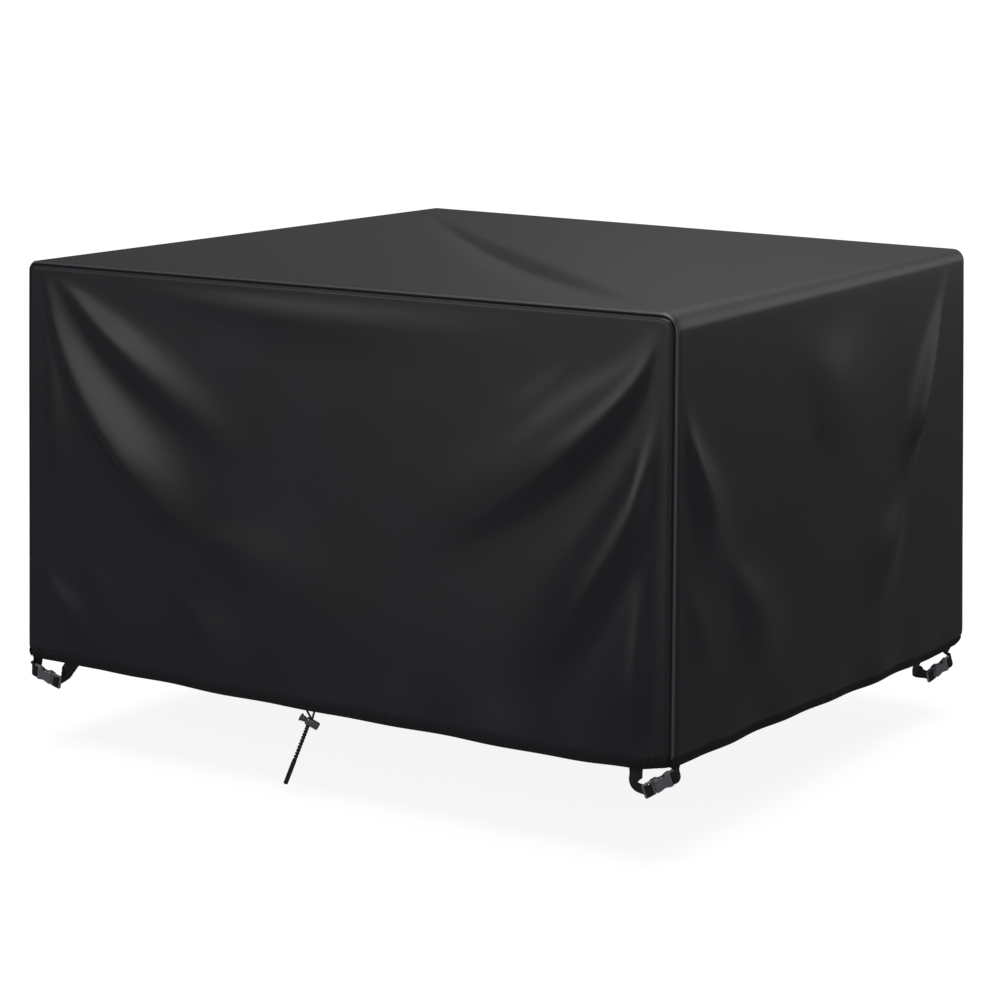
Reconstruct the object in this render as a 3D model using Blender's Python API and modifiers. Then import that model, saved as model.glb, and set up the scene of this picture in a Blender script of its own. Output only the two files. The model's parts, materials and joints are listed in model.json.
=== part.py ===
"""Fitted cover for a square set of patio furniture, hollow, as it hangs over the set.

One length of cloth makes the left end, the top and the right end. A front and a back panel
are lapped under its long edges. A drawcord with a cord lock runs in the hem, and a clipped
pair of webbing straps hangs at each corner. Metres, +Z up, the front faces -Y, and the origin
lies on the underside of the top, at its middle.
"""
import math
from collections import namedtuple

import bmesh
import bpy
import numpy as np
from mathutils import Matrix, Vector

# ---- driving dimensions of the cover -------------------------------------------------
TOP_LENGTH = 1.300
TOP_DEPTH = 1.170
TOP_LEVEL = 0.002
HEM_LEVEL = -0.741
HEM_FLARE_X = 0.026
HEM_FLARE_Y = -0.008
CLOTH = 0.002
GAP = 0.0003
SEAM_GAP = 0.0010

# ---- how each corner departs from a true box, the radius that its top edge bends at, and
# how far its hem tucks in ----
Corner = namedtuple("Corner", "x_side y_side top_shift hem_shift bend tuck")
CORNERS = (
    Corner(-1, -1, (-0.010, -0.007, 0.003), (-0.022, -0.016, 0.008), 0.019, 0.002),
    Corner(1, -1, (0.021, 0.010, -0.003), (-0.003, 0.003, 0.019), 0.030, 0.004),
    Corner(1, 1, (-0.011, -0.005, -0.003), (-0.004, -0.007, -0.022), 0.021, 0.009),
    Corner(-1, 1, (0.022, 0.018, 0.017), (-0.010, 0.006, -0.004), 0.038, 0.006),
)

# ---- the lapped seam: a lip of the long cloth lies on the panel's edge ----------------
SEAM_FLAT = 0.0050
SEAM_LAP = 0.0032
LIP_FLAT = 0.0044
LIP_FOOT = 0.0080
EDGE_ROUND_TOP = 0.007
EDGE_ROUND_HEM = 0.012
LIP_HEIGHT = CLOTH + SEAM_GAP

# ---- the hem ---------------------------------------------------------------------------
HEM_BAND = 0.025
HEM_TUCK_REACH = 0.030
HEM_WAVE = 0.002
HEM_WAVE_REACH = 0.110

HemSag = namedtuple("HemSag", "wall share drop")
HEM_SAGS = (
    HemSag("front", 0.22, 0.004), HemSag("front", 0.40, 0.009), HemSag("front", 0.66, 0.011),
    HemSag("front", 0.86, 0.014), HemSag("front", 0.95, 0.010),
    HemSag("right", 0.30, 0.000), HemSag("right", 0.65, 0.005), HemSag("right", 0.88, 0.006),
    HemSag("back", 0.35, 0.009), HemSag("back", 0.75, 0.006),
    HemSag("left", 0.40, 0.007),
)

# ---- folds: soft ridges (or troughs, with a height below nought) on each face -----------
# A place on a face is (across, down): across from its left edge as seen from outside, down
# from its top edge. On the top it is (from the left end, from the front edge).
# Its flanks are each side's reach, and peak is how far along it stands highest.
Fold = namedtuple("Fold", "wall start half_way end upper lower height peak")
FOLDS = (
    Fold("front", (0.044, 0.040), (0.158, 0.256), (0.385, 0.465), 0.064, 0.026, 0.026, 0.60),
    Fold("front", (0.070, 0.018), (0.250, 0.158), (0.540, 0.330), 0.046, 0.036, 0.013, 0.45),
    Fold("front", (0.034, 0.080), (0.064, 0.260), (0.058, 0.420), 0.022, 0.020, 0.003, 0.50),
    Fold("front", (0.034, 0.553), (0.090, 0.629), (0.160, 0.715), 0.034, 0.028, 0.005, 0.50),
    Fold("front", (0.125, 0.480), (0.185, 0.610), (0.300, 0.740), 0.044, 0.036, 0.006, 0.50),
    Fold("front", (0.380, 0.450), (0.560, 0.500), (0.800, 0.560), 0.080, 0.080, 0.006, 0.40),
    Fold("front", (0.350, 0.560), (0.430, 0.650), (0.520, 0.743), 0.060, 0.045, 0.009, 0.50),
    Fold("front", (1.290, 0.040), (1.150, 0.220), (0.860, 0.420), 0.075, 0.036, 0.024, 0.50),
    Fold("front", (1.150, 0.075), (1.070, 0.155), (0.960, 0.232), 0.026, 0.024, 0.002, 0.50),
    Fold("front", (1.310, 0.100), (1.232, 0.370), (1.030, 0.650), 0.056, 0.046, 0.021, 0.58),
    Fold("front", (1.305, 0.290), (1.268, 0.540), (1.262, 0.743), 0.055, 0.032, 0.014, 0.60),
    Fold("front", (0.200, 0.012), (0.650, 0.040), (1.150, 0.030), 0.028, 0.040, 0.006, 0.40),
    Fold("right", (0.010, 0.120), (0.080, 0.290), (0.180, 0.430), 0.042, 0.022, 0.020, 0.55),
    Fold("right", (0.165, 0.400), (0.275, 0.520), (0.400, 0.640), 0.060, 0.040, 0.013, 0.50),
    Fold("right", (0.020, 0.420), (0.085, 0.510), (0.170, 0.640), 0.036, 0.028, 0.009, 0.50),
    Fold("right", (1.075, 0.050), (0.985, 0.200), (0.870, 0.400), 0.044, 0.022, 0.022, 0.60),
    Fold("right", (0.885, 0.400), (0.810, 0.510), (0.700, 0.640), 0.064, 0.048, 0.016, 0.45),
    Fold("right", (0.450, 0.120), (0.600, 0.220), (0.560, 0.360), 0.150, 0.150, 0.010, 0.40),
    Fold("top", (0.190, 0.980), (0.680, 0.525), (1.235, 0.070), 0.026, 0.045, -0.0100, 0.45),
    Fold("back", (0.040, 0.030), (0.150, 0.260), (0.340, 0.450), 0.070, 0.028, 0.020, 0.50),
    Fold("back", (1.280, 0.040), (1.150, 0.240), (0.950, 0.430), 0.066, 0.032, 0.019, 0.50),
    Fold("back", (0.480, 0.340), (0.560, 0.540), (0.560, 0.743), 0.060, 0.060, 0.010, 0.55),
    Fold("left", (0.030, 0.040), (0.130, 0.250), (0.300, 0.460), 0.060, 0.030, 0.018, 0.50),
    Fold("left", (1.120, 0.050), (1.010, 0.250), (0.860, 0.440), 0.060, 0.030, 0.018, 0.50),
    Fold("left", (0.420, 0.400), (0.520, 0.560), (0.540, 0.743), 0.070, 0.060, 0.010, 0.55),
)
FOLD_CALM = 0.012
FOLD_FREE = 0.050

# ---- webbing straps and side-release buckles ---------------------------------------------
WEB_WIDTH = 0.024
WEB = 0.0014
WEB_CLEAR = 0.0013
WEB_SKEW = 0.55
PLATE = 0.0042
SHELL = 0.0080
CAVITY_HIGH = 0.0048
SLOT_WIDE = 0.0124

# A seat is where webbing is sewn inside the hem: its wall, the distance of its middle along the
# hem from the wall's left edge as seen from outside, and how far it leans along that way, in
# degrees. heading and slope give the buckle's axis from the ladder frame to the fixed bar, tilt
# how far its face looks down and face_side which side of the heading the face looks to. entry is
# how far round from the buckle's own axis to its back the long webbing comes in from, and skew how
# far it comes in from the side that its seat is on.
# Slack is how far webbing keeps its way at the hem and at the buckle, as shares of the span
# between them, and the share of it that stays untwisted below the hem. WEB_SKEW is how far the
# free webbing squares itself to its own way, from not at all at 0 to fully at 1.
Slack = namedtuple("Slack", "leave arrive straight")
LONG_SLACK = Slack(0.36, 0.36, 0.00)
SHORT_SLACK = Slack(0.62, 0.36, 0.20)
Seat = namedtuple("Seat", "wall across lean")
StrapSet = namedtuple("StrapSet", "name long_seat short_seat centre heading slope tilt face_side entry skew")
STRAP_SETS = (
    StrapSet("near", Seat("front", 1.264, 8), Seat("right", 0.020, -14),
             (0.6510, -0.5760, -0.7480), 50, 23, 20, 1, 60, 0),
    StrapSet("left", Seat("front", 0.101, -44), Seat("left", 1.143, 14),
             (-0.6340, -0.6030, -0.7600), 192, 21, 20, -1, 40, 58),
    StrapSet("far", Seat("right", 0.972, 48), Seat("right", 1.134, -14),
             (0.6634, 0.4665, -0.7935), 60, 27, 18, 1, 34, 46),
    StrapSet("back", Seat("back", 1.214, 8), Seat("left", 0.028, -14),
             (-0.6600, 0.5840, -0.7710), 230, 23, 20, 1, 60, 0),
)
CALM_STRAP = 0.060

# ---- drawcord and cord lock ----------------------------------------------------------------
CORD = 0.0035
STRAND_OFFSET = (CORD + 0.0004) / 2
STRAND_EXITS = {"left": 0.6255, "right": 0.6405}
TWIST_PITCH = 0.022
TWIST_LENGTH = 0.0745
TWIST_POINTS_PER_TURN = 11
LOCK_HOLE = (-0.0405, -0.5830, -0.7563)
PRESS_AXIS = Vector((0.837, 0.305, -0.454)).normalized()
TAIL_LINE = Vector((-0.413, 0.0, -0.911)).normalized()
BARREL_LENGTH = 0.0240
BARREL_RADIUS = 0.0070
BORE_RADIUS = 0.0046
BORE_DEPTH = 0.0215
HOLE_BELOW_MOUTH = 0.0065
HOLE_LONG = 0.0086
HOLE_WIDE = 0.0048
PRESS_TRAVEL = 0.0030
STEM_RADIUS = 0.0043
STEM_DEPTH = 0.0137
NECK = 0.0042
HEAD_LENGTH = 0.0080
SLEEVE_LENGTH = 0.0490
SLEEVE_RADIUS = 0.0041

ROOT_HALF = math.sqrt(0.5)


# ---- small helpers ---------------------------------------------------------------------------
def smooth(value):
    """0 below 0, 1 above 1, and an even S between."""
    value = np.clip(value, 0.0, 1.0)
    return value * value * (3.0 - 2.0 * value)


def unit(vectors):
    return vectors / np.linalg.norm(vectors, axis=-1, keepdims=True)


def mix(first, second, share):
    return first + (second - first) * np.asarray(share)[..., None]


def corner_points(level):
    """The four sharp corners of the top or of the hem, in the order of CORNERS."""
    points = []
    for corner in CORNERS:
        flare_x, flare_y = (HEM_FLARE_X, HEM_FLARE_Y) if level == "hem" else (0.0, 0.0)
        shift = corner.hem_shift if level == "hem" else corner.top_shift
        height = HEM_LEVEL if level == "hem" else TOP_LEVEL
        points.append(np.array((corner.x_side * (TOP_LENGTH / 2 + flare_x) + shift[0],
                                corner.y_side * (TOP_DEPTH / 2 + flare_y) + shift[1],
                                height + shift[2])))
    return points


TOP = corner_points("top")
HEM = corner_points("hem")
BEND = [corner.bend for corner in CORNERS]
FRONT_LEFT, FRONT_RIGHT, BACK_RIGHT, BACK_LEFT = range(4)
WALL_ENDS = {"front": (FRONT_LEFT, FRONT_RIGHT), "right": (FRONT_RIGHT, BACK_RIGHT),
             "back": (BACK_RIGHT, BACK_LEFT), "left": (BACK_LEFT, FRONT_LEFT)}


# ---- the rounded edge along a seam ---------------------------------------------------------
def edge_shift(radius):
    """How much longer the sharp face is than its cloth, at each rounded edge."""
    return 0.2146 * radius + 0.4142 * SEAM_FLAT


def seam_inset(radius):
    return (1 - ROOT_HALF) * radius + ROOT_HALF * SEAM_FLAT


def edge_inset(from_seam, radius):
    """Distance in from the neighbouring face's plane, for a distance from the seam."""
    flat = seam_inset(radius) + ROOT_HALF * from_seam
    turned = np.clip((from_seam - SEAM_FLAT) / radius, 0.0, math.pi / 4)
    bent = (seam_inset(radius) + ROOT_HALF * SEAM_FLAT
            + radius * (ROOT_HALF - np.sin(math.pi / 4 - turned)))
    straight = from_seam + edge_shift(radius)
    past = from_seam - SEAM_FLAT > radius * math.pi / 4
    return np.where(from_seam < SEAM_FLAT, flat, np.where(past, straight, bent))


def edge_depth(inset, radius):
    """Depth of the cloth under its own face's plane, for an inset from the neighbour's."""
    seam = seam_inset(radius)
    end = seam + ROOT_HALF * (SEAM_FLAT + radius)
    lean = np.clip((end - inset) / radius, 0.0, ROOT_HALF)
    bent = radius * (1 - np.sqrt(1 - lean * lean))
    return np.where(inset < seam + ROOT_HALF * SEAM_FLAT, 2 * seam - inset, bent)


# ---- folds and the hem's sag -------------------------------------------------------------------
def fold_line(fold, steps=24):
    start, half_way, end = (np.array(place) for place in (fold.start, fold.half_way, fold.end))
    pull = 2 * half_way - (start + end) / 2
    share = np.linspace(0, 1, steps + 1)[:, None]
    return start * (1 - share) ** 2 + pull * 2 * share * (1 - share) + end * share ** 2


def fold_relief(fold, across, down):
    """Height of one fold over its face: a crest with two unlike flanks, fading at its ends."""
    line = fold_line(fold)
    runs = line[1:] - line[:-1]
    place = np.stack((across, down), axis=-1)[:, None, :] - line[None, :-1, :]
    along = np.clip((place * runs).sum(-1) / (runs * runs).sum(-1), 0.0, 1.0)
    off = place - along[..., None] * runs
    away = np.hypot(off[..., 0], off[..., 1])
    nearest = away.argmin(axis=1)
    pick = np.arange(len(across))
    reach = (nearest + along[pick, nearest]) / len(runs)
    run = runs[nearest]
    turn = run[:, 1] * off[pick, nearest, 0] - run[:, 0] * off[pick, nearest, 1]
    rightward = 1.0 if fold.end[0] > fold.start[0] else -1.0
    flank = np.where(turn * rightward > 0, fold.upper, fold.lower)
    flank = flank * (0.40 + 0.60 * smooth(reach / 0.6))
    swell = (0.12 + 0.88 * smooth(reach / fold.peak)) * (1 - smooth((reach - fold.peak) / (1 - fold.peak)))
    return fold.height * swell * np.exp(-(away[pick, nearest] / flank) ** 2)


def strap_calm(wall, across, rise):
    """0 beside a strap's seat on the hem, where the cloth lies flat, and 1 elsewhere."""
    calm = np.ones_like(across)
    for strap_set in STRAP_SETS:
        for seat in (strap_set.long_seat, strap_set.short_seat):
            if seat.wall == wall:
                beside = 1 - smooth((np.abs(across - seat.across) - WEB_WIDTH) / CALM_STRAP)
                low = 1 - smooth((rise - HEM_BAND) / CALM_STRAP)
                calm = calm * (1 - beside * low)
    return calm


def wall_relief(wall, across, down, width):
    """All the folds and the hem's waves on one wall, outwards, flat at its three seams."""
    height = TOP_LEVEL - HEM_LEVEL
    rise = height - down
    total = np.zeros_like(across)
    for fold in FOLDS:
        if fold.wall == wall:
            total += fold_relief(fold, across, down)
    low = 1 - smooth(rise / HEM_WAVE_REACH)
    phase = list(WALL_ENDS).index(wall) * 1.3
    total += HEM_WAVE * low * (np.sin(across * 33.0 + phase) + 0.6 * np.sin(across * 20.0 - phase))
    nearest_side = np.minimum(across, width - across)
    free = smooth((nearest_side - FOLD_CALM) / FOLD_FREE) * smooth((down - FOLD_CALM) / FOLD_FREE)
    return total * free * strap_calm(wall, across, rise)


def top_relief(across, back):
    total = np.zeros_like(across)
    for fold in FOLDS:
        if fold.wall == "top":
            total += fold_relief(fold, across, back)
    nearest = np.minimum(np.minimum(across, TOP_LENGTH - across), np.minimum(back, TOP_DEPTH - back))
    return total * smooth((nearest - FOLD_CALM) / FOLD_FREE)


def hem_sag(wall, share):
    rows = [(0.0, 0.0)] + [(sag.share, sag.drop) for sag in HEM_SAGS if sag.wall == wall] + [(1.0, 0.0)]
    drop = np.zeros_like(share)
    for (left, low), (right, high) in zip(rows[:-1], rows[1:]):
        inside = (share >= left) & (share <= right)
        drop = np.where(inside, low + (high - low) * smooth((share - left) / (right - left)), drop)
    return drop


def settle_hem(points, rise, wall, share):
    """Sags the hem line, and tucks the hem in towards the middle of the cover."""
    height = TOP_LEVEL - HEM_LEVEL
    low = np.clip(1 - rise / height, 0.0, 1.0)
    points[..., 2] -= hem_sag(wall, share) * low ** 2
    front_left, front_right, back_right, back_left = (corner.tuck for corner in CORNERS)
    rightward = np.clip(points[..., 0] / TOP_LENGTH + 0.5, 0.0, 1.0)
    backward = np.clip(points[..., 1] / TOP_DEPTH + 0.5, 0.0, 1.0)
    front = front_left + (front_right - front_left) * rightward
    back = back_left + (back_right - back_left) * rightward
    tuck = (front + (back - front) * backward) / (TOP_LENGTH / 2)
    tuck *= np.clip(1 - rise / HEM_TUCK_REACH, 0.0, 1.0) ** 2
    points[..., 0] *= 1 - tuck
    points[..., 1] *= 1 - tuck
    return points


# ---- the front and back panels --------------------------------------------------------------
def panel_width(wall):
    left, right = WALL_ENDS[wall]
    return np.linalg.norm(TOP[right] - TOP[left]) - 2 * edge_shift(EDGE_ROUND_TOP)


def panel_points(wall, across, down):
    """Outer face of a panel. across and down are measured over the cloth from its seams."""
    left, right = WALL_ENDS[wall]
    behind_left, behind_right = (BACK_LEFT, BACK_RIGHT) if wall == "front" else (FRONT_RIGHT, FRONT_LEFT)
    height = TOP_LEVEL - HEM_LEVEL
    inset_top = edge_inset(down, EDGE_ROUND_TOP)
    level = inset_top / height
    radius = EDGE_ROUND_TOP + (EDGE_ROUND_HEM - EDGE_ROUND_TOP) * smooth(level)
    left_edge = mix(TOP[left], HEM[left], level)
    right_edge = mix(TOP[right], HEM[right], level)
    long = np.linalg.norm(right_edge - left_edge, axis=-1)
    stretch = (long - 2 * edge_shift(radius)) / panel_width(wall)
    on_left = across < panel_width(wall) / 2
    from_seam = np.where(on_left, across, panel_width(wall) - across) * stretch
    inset_side = edge_inset(from_seam, radius)
    depth = edge_depth(inset_side, radius) + edge_depth(inset_top, EDGE_ROUND_TOP)

    bend = np.where(on_left, BEND[left], BEND[right])
    border = edge_inset(np.full_like(across, -SEAM_LAP), EDGE_ROUND_TOP)
    side = np.clip((bend - inset_side) / (bend - border), 0.0, 1.0)
    up = np.clip((bend - inset_top) / (bend - border), 0.0, 1.0)
    in_corner = (side > 0) & (up > 0)
    side_round = side * np.sqrt(1 - up * up / 2)
    up_round = up * np.sqrt(1 - side * side / 2)
    reach = bend - np.hypot(side_round, up_round) * (bend - border)
    inset_side = np.where(in_corner, bend - side_round * (bend - border), inset_side)
    inset_top = np.where(in_corner, bend - up_round * (bend - border), inset_top)
    depth = np.where(in_corner, edge_depth(reach, EDGE_ROUND_TOP), depth)

    level = inset_top / height
    left_edge = mix(TOP[left], HEM[left], level)
    right_edge = mix(TOP[right], HEM[right], level)
    long = np.linalg.norm(right_edge - left_edge, axis=-1)
    share = np.where(on_left, inset_side, long - inset_side) / long
    inward = unit(mix(mix(TOP[behind_left] - TOP[left], HEM[behind_left] - HEM[left], level),
                      mix(TOP[behind_right] - TOP[right], HEM[behind_right] - HEM[right], level), share))
    relief = wall_relief(wall, across, down, panel_width(wall))
    points = mix(left_edge, right_edge, share)
    points = points + inward * (depth - relief)[..., None]
    return settle_hem(points, height - inset_top, wall, share)


# ---- the long cloth: left end, top and right end --------------------------------------------------
def band_width():
    return TOP_DEPTH - 2 * edge_shift(EDGE_ROUND_TOP)


def lip_height(from_edge):
    return LIP_HEIGHT * (1 - smooth((from_edge - LIP_FLAT) / (LIP_FOOT - LIP_FLAT)))


def band_points(path, cross):
    """Outer face of the long cloth. cross is measured over the cloth from its front edge.

    path runs from 0 to 5: the left end from its hem up, the left bend, the top, the right
    bend, and the right end down to its hem, a whole number to each.
    """
    zone = np.clip(np.floor(path), 0, 4)
    part = path - zone
    height = TOP_LEVEL - HEM_LEVEL
    on_left = path < 2.5
    climb = np.where(zone == 0, 1 - part, np.where(zone == 4, part, 0.0))
    radius = EDGE_ROUND_TOP + (EDGE_ROUND_HEM - EDGE_ROUND_TOP) * smooth(climb)
    on_front = cross < band_width() / 2
    from_edge = np.where(on_front, cross, band_width() - cross)

    def rail(points, front, back):
        long = np.linalg.norm(points[back] - points[front])
        stretch = (long - 2 * edge_shift(radius)) / band_width()
        inset = edge_inset(from_edge * stretch, radius)
        lean = ROOT_HALF * lip_height(from_edge)
        raised = inset - lean
        share = np.where(on_front, raised, long - raised) / long
        return mix(points[front], points[back], share), share, edge_depth(inset, radius) - lean

    top_left, share, depth = rail(TOP, FRONT_LEFT, BACK_LEFT)
    top_right, share_right, depth_right = rail(TOP, FRONT_RIGHT, BACK_RIGHT)
    hem_left = rail(HEM, FRONT_LEFT, BACK_LEFT)[0]
    hem_right = rail(HEM, FRONT_RIGHT, BACK_RIGHT)[0]
    share = np.where(on_left, share, share_right)
    depth = np.where(on_left, depth, depth_right)
    top = np.where(on_left[..., None], top_left, top_right)
    far_top = np.where(on_left[..., None], top_right, top_left)
    hem = np.where(on_left[..., None], hem_left, hem_right)
    bend = np.where(on_left, mix(np.array([BEND[0]]), np.array([BEND[3]]), share)[..., 0],
                    mix(np.array([BEND[1]]), np.array([BEND[2]]), share)[..., 0])
    fall = np.linalg.norm(hem - top, axis=-1)
    run = np.linalg.norm(far_top - top, axis=-1)
    other_bend = np.where(on_left, mix(np.array([BEND[1]]), np.array([BEND[2]]), share)[..., 0],
                          mix(np.array([BEND[0]]), np.array([BEND[3]]), share)[..., 0])

    across_wall = np.where(on_left, band_width() - cross, cross)
    down_wall = bend + (fall - bend) * climb
    relief = np.where(on_left, wall_relief("left", across_wall, down_wall, band_width()),
                      wall_relief("right", across_wall, down_wall, band_width()))
    wall_down, wall_in = down_wall, depth - relief
    turned = np.where(zone == 1, part, 1 - part) * math.pi / 2
    bend_down = bend * (1 - np.sin(turned)) + depth * np.sin(turned)
    bend_in = bend * (1 - np.cos(turned)) + depth * np.cos(turned)
    along = bend + (run - bend - other_bend) * np.where(on_left, part, 1 - part)
    from_left = np.where(on_left, along, run - along)
    top_down = depth - top_relief(from_left, share * TOP_DEPTH)

    on_wall = (zone == 0) | (zone == 4)
    down = np.where(on_wall, wall_down, np.where(zone == 2, top_down, bend_down))
    inwards = np.where(on_wall, wall_in, np.where(zone == 2, along, bend_in))
    points = top + unit(hem - top) * down[..., None] + unit(far_top - top) * inwards[..., None]
    rise = np.where(on_wall, (1 - down_wall / fall) * height, height)
    left_wall = settle_hem(points.copy(), rise, "left", 1 - share)
    right_wall = settle_hem(points.copy(), rise, "right", share)
    return np.where(on_left[..., None], left_wall, right_wall)


def wall_point(wall, across, rise):
    """A point on the outer face of any wall, by its height above the hem."""
    across = np.atleast_1d(np.asarray(across, dtype=float))
    rise = np.full_like(across, rise)
    height = TOP_LEVEL - HEM_LEVEL
    if wall in ("front", "back"):
        return panel_points(wall, across, height - edge_shift(EDGE_ROUND_TOP) - rise)
    climb = 1 - rise / height
    if wall == "right":
        return band_points(4 + climb, across)
    return band_points(1 - climb, band_width() - across)


def wall_frame(wall, across, rise):
    """Point, outward normal, direction along the hem and direction down, at one place."""
    step = 0.002
    point = wall_point(wall, across, rise)[0]
    ahead = wall_point(wall, across + step, rise)[0]
    above = wall_point(wall, across, rise + step)[0]
    along = unit(ahead - point)
    normal = unit(np.cross(along, unit(above - point)))
    return Vector(point), Vector(normal), Vector(along), Vector(unit(point - above))


# ---- making objects ----------------------------------------------------------------------------
def clear_scene():
    for old in list(bpy.data.objects):
        bpy.data.objects.remove(old, do_unlink=True)


def collection(name):
    made = bpy.data.collections.new(name)
    bpy.context.scene.collection.children.link(made)
    return made


def material(name, colour, roughness, metallic=0.0):
    made = bpy.data.materials.new(name)
    made.use_nodes = True
    shader = made.node_tree.nodes["Principled BSDF"]
    shader.inputs["Base Color"].default_value = (*colour, 1.0)
    shader.inputs["Roughness"].default_value = roughness
    shader.inputs["Metallic"].default_value = metallic
    return made


def add_object(name, data, finish, home, sharp_angle=40):
    made = bpy.data.objects.new(name, data)
    home.objects.link(made)
    data.materials.append(finish)
    if isinstance(data, bpy.types.Mesh):
        data.shade_smooth()
        data.set_sharp_from_angle(angle=math.radians(sharp_angle))
    return made


def laid_sheet(columns, rows, place):
    """A grid with one vertex line for each column and row, laid out by place()."""
    grid = bmesh.new()
    wide, high = len(columns) - 1, len(rows) - 1
    bmesh.ops.create_grid(grid, x_segments=wide, y_segments=high, size=1.0)
    column = [columns[round((v.co.x + 1) / 2 * wide)] for v in grid.verts]
    row = [rows[round((v.co.y + 1) / 2 * high)] for v in grid.verts]
    for vertex, point in zip(grid.verts, place(np.array(column), np.array(row))):
        vertex.co = point
    mesh = bpy.data.meshes.new("sheet")
    grid.to_mesh(mesh)
    grid.free()
    return mesh


def thicken(made, thickness, offset):
    solid = made.modifiers.new("thickness", "SOLIDIFY")
    solid.thickness = thickness
    solid.offset = offset
    return made


def graded(*spans):
    """Places along a line. Each span is its end and its number of cells."""
    places = [spans[0]]
    for end, cells in spans[1:]:
        places += list(np.linspace(places[-1], end, cells + 1)[1:])
    return places


# ---- the cloth pieces ----------------------------------------------------------------------------
def panel_columns(wall, spans):
    """Columns close together round both upper corners. spans fill the width between them."""
    width = panel_width(wall)
    left, right = (BEND[corner] - edge_shift(EDGE_ROUND_TOP) for corner in WALL_ENDS[wall])
    arc = SEAM_FLAT + EDGE_ROUND_TOP * math.pi / 4
    inner = graded(arc, (left, 1 + (left > 0.017)), *spans, (width - right, 1),
                   (width - arc, 1 + (right > 0.017)))
    return [-SEAM_LAP, SEAM_FLAT] + inner + [width - SEAM_FLAT, width + SEAM_LAP]


def panel_rows(wall, spans):
    height = TOP_LEVEL - HEM_LEVEL - edge_shift(EDGE_ROUND_TOP)
    bend = max(BEND[corner] for corner in WALL_ENDS[wall]) - edge_shift(EDGE_ROUND_TOP)
    arc = SEAM_FLAT + EDGE_ROUND_TOP * math.pi / 4
    rows = [-SEAM_LAP, SEAM_FLAT] + graded(arc, (bend, 3), *spans, (height - HEM_BAND, 1))
    rows += [height - HEM_BAND / 2, height]
    return rows[::-1]


def add_panel(wall, column_spans, row_spans, finish, home):
    mesh = laid_sheet(panel_columns(wall, column_spans), panel_rows(wall, row_spans),
                      lambda across, down: panel_points(wall, across, down))
    return thicken(add_object("panel_" + wall, mesh, finish, home, 60), CLOTH, -1)


def add_band(finish, home):
    height = TOP_LEVEL - HEM_LEVEL
    hem_rows = [0.0, HEM_BAND / 2 / height, HEM_BAND / height]
    left = graded(hem_rows[2], (1.0, 7))
    right = graded(4.0, (4.60, 10), (5.0 - hem_rows[2], 6))
    path = (hem_rows[:2] + left + graded(1.0, (2.0, 6))[1:] + graded(2.0, (3.0, 17))[1:]
            + graded(3.0, (4.0, 6))[1:] + right[1:] + [5.0 - hem_rows[1], 5.0])
    width = band_width()
    arc = SEAM_FLAT + EDGE_ROUND_TOP * math.pi / 4
    inner = graded(arc, (0.040, 1), (0.400, 9), (0.720, 4), (width - 0.040, 9), (width - arc, 1))
    cross = [0.0, LIP_FLAT, LIP_FOOT] + inner + [width - LIP_FOOT, width - LIP_FLAT, width]
    mesh = laid_sheet(path, cross, band_points)
    return thicken(add_object("cloth_band", mesh, finish, home, 60), CLOTH, -1)


# ---- webbing ---------------------------------------------------------------------------------------
def spline_points(start, start_pull, end_pull, end, steps):
    """Points of a cubic from start to end, both ends left out."""
    points = []
    for step in range(1, steps):
        t = step / steps
        points.append(start * (1 - t) ** 3 + start_pull * 3 * t * (1 - t) ** 2
                      + end_pull * 3 * t * t * (1 - t) + end * t ** 3)
    return points


def add_ribbon(name, edges, finish, home):
    """Webbing between pairs of edge points."""
    mesh = laid_sheet((0, 1), list(range(len(edges))),
                      lambda side, row: [edges[r][s] for s, r in zip(side, row)])
    return thicken(add_object(name, mesh, finish, home, 50), WEB, 0)


# Webbing in the buckle's own frame: x along its axis, z out of its face, millimetres.
LADDER_WEAVE = ((-24.7, -3.3), (-24.0, -1.6), (-24.0, 0.0), (-23.6, 2.4), (-22.0, 3.2),
                (-18.6, 3.2), (-17.2, 2.4), (-16.7, 0.0), (-16.3, -2.6), (-14.0, -4.8), (-9.0, -6.0),
                (-1.0, -6.4))
ENTRY_RUNS = (8.0, 2.6)
BAR_LOOP = ((32.6, 1.0), (31.2, 2.2), (29.0, 3.3), (25.5, 3.3), (24.0, 2.4), (23.4, 0.0),
            (24.0, -2.4), (25.5, -3.3), (29.0, -3.3), (31.2, -2.2), (32.6, -1.0))
MM = 0.001


def buckle_frame(strap_set):
    heading, slope, tilt = (math.radians(v) for v in (strap_set.heading, strap_set.slope, strap_set.tilt))
    axis = Vector((math.cos(heading) * math.cos(slope), math.sin(heading) * math.cos(slope), math.sin(slope)))
    level = Vector((math.sin(heading), -math.cos(heading), 0.0)) * strap_set.face_side
    up = axis.cross(level)
    up = up if up.z > 0 else -up
    out = level * math.cos(tilt) - up * math.sin(tilt)
    frame = Matrix((axis, out.cross(axis), out)).transposed().to_4x4()
    frame.translation = Vector(strap_set.centre)
    return frame


def seat_point(wall, across, rise):
    """Middle of webbing laid inside the hem, or hanging straight on down from it."""
    point, normal, _, down = wall_frame(wall, across, max(rise, 0.0))
    return point - normal * (CLOTH + WEB_CLEAR + WEB / 2) + down * max(-rise, 0.0)


def seat_edges(seat, side):
    """Edge pairs of webbing sewn inside the hem at its lean, from its top end down."""
    lean = math.radians(seat.lean)
    half = WEB_WIDTH / 2
    edges = []
    for rise in (HEM_BAND, HEM_BAND / 2, 0.0, -0.001 - half * abs(math.sin(lean))):
        across = seat.across - math.tan(lean) * rise
        pair = [seat_point(seat.wall, across - turn * half * math.cos(lean), rise - turn * half * math.sin(lean))
                for turn in (-1, 1)]
        edges.append(pair)
    if (edges[-1][1] - edges[-1][0]).dot(side) < 0:
        edges = [pair[::-1] for pair in edges]
    return edges


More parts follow.
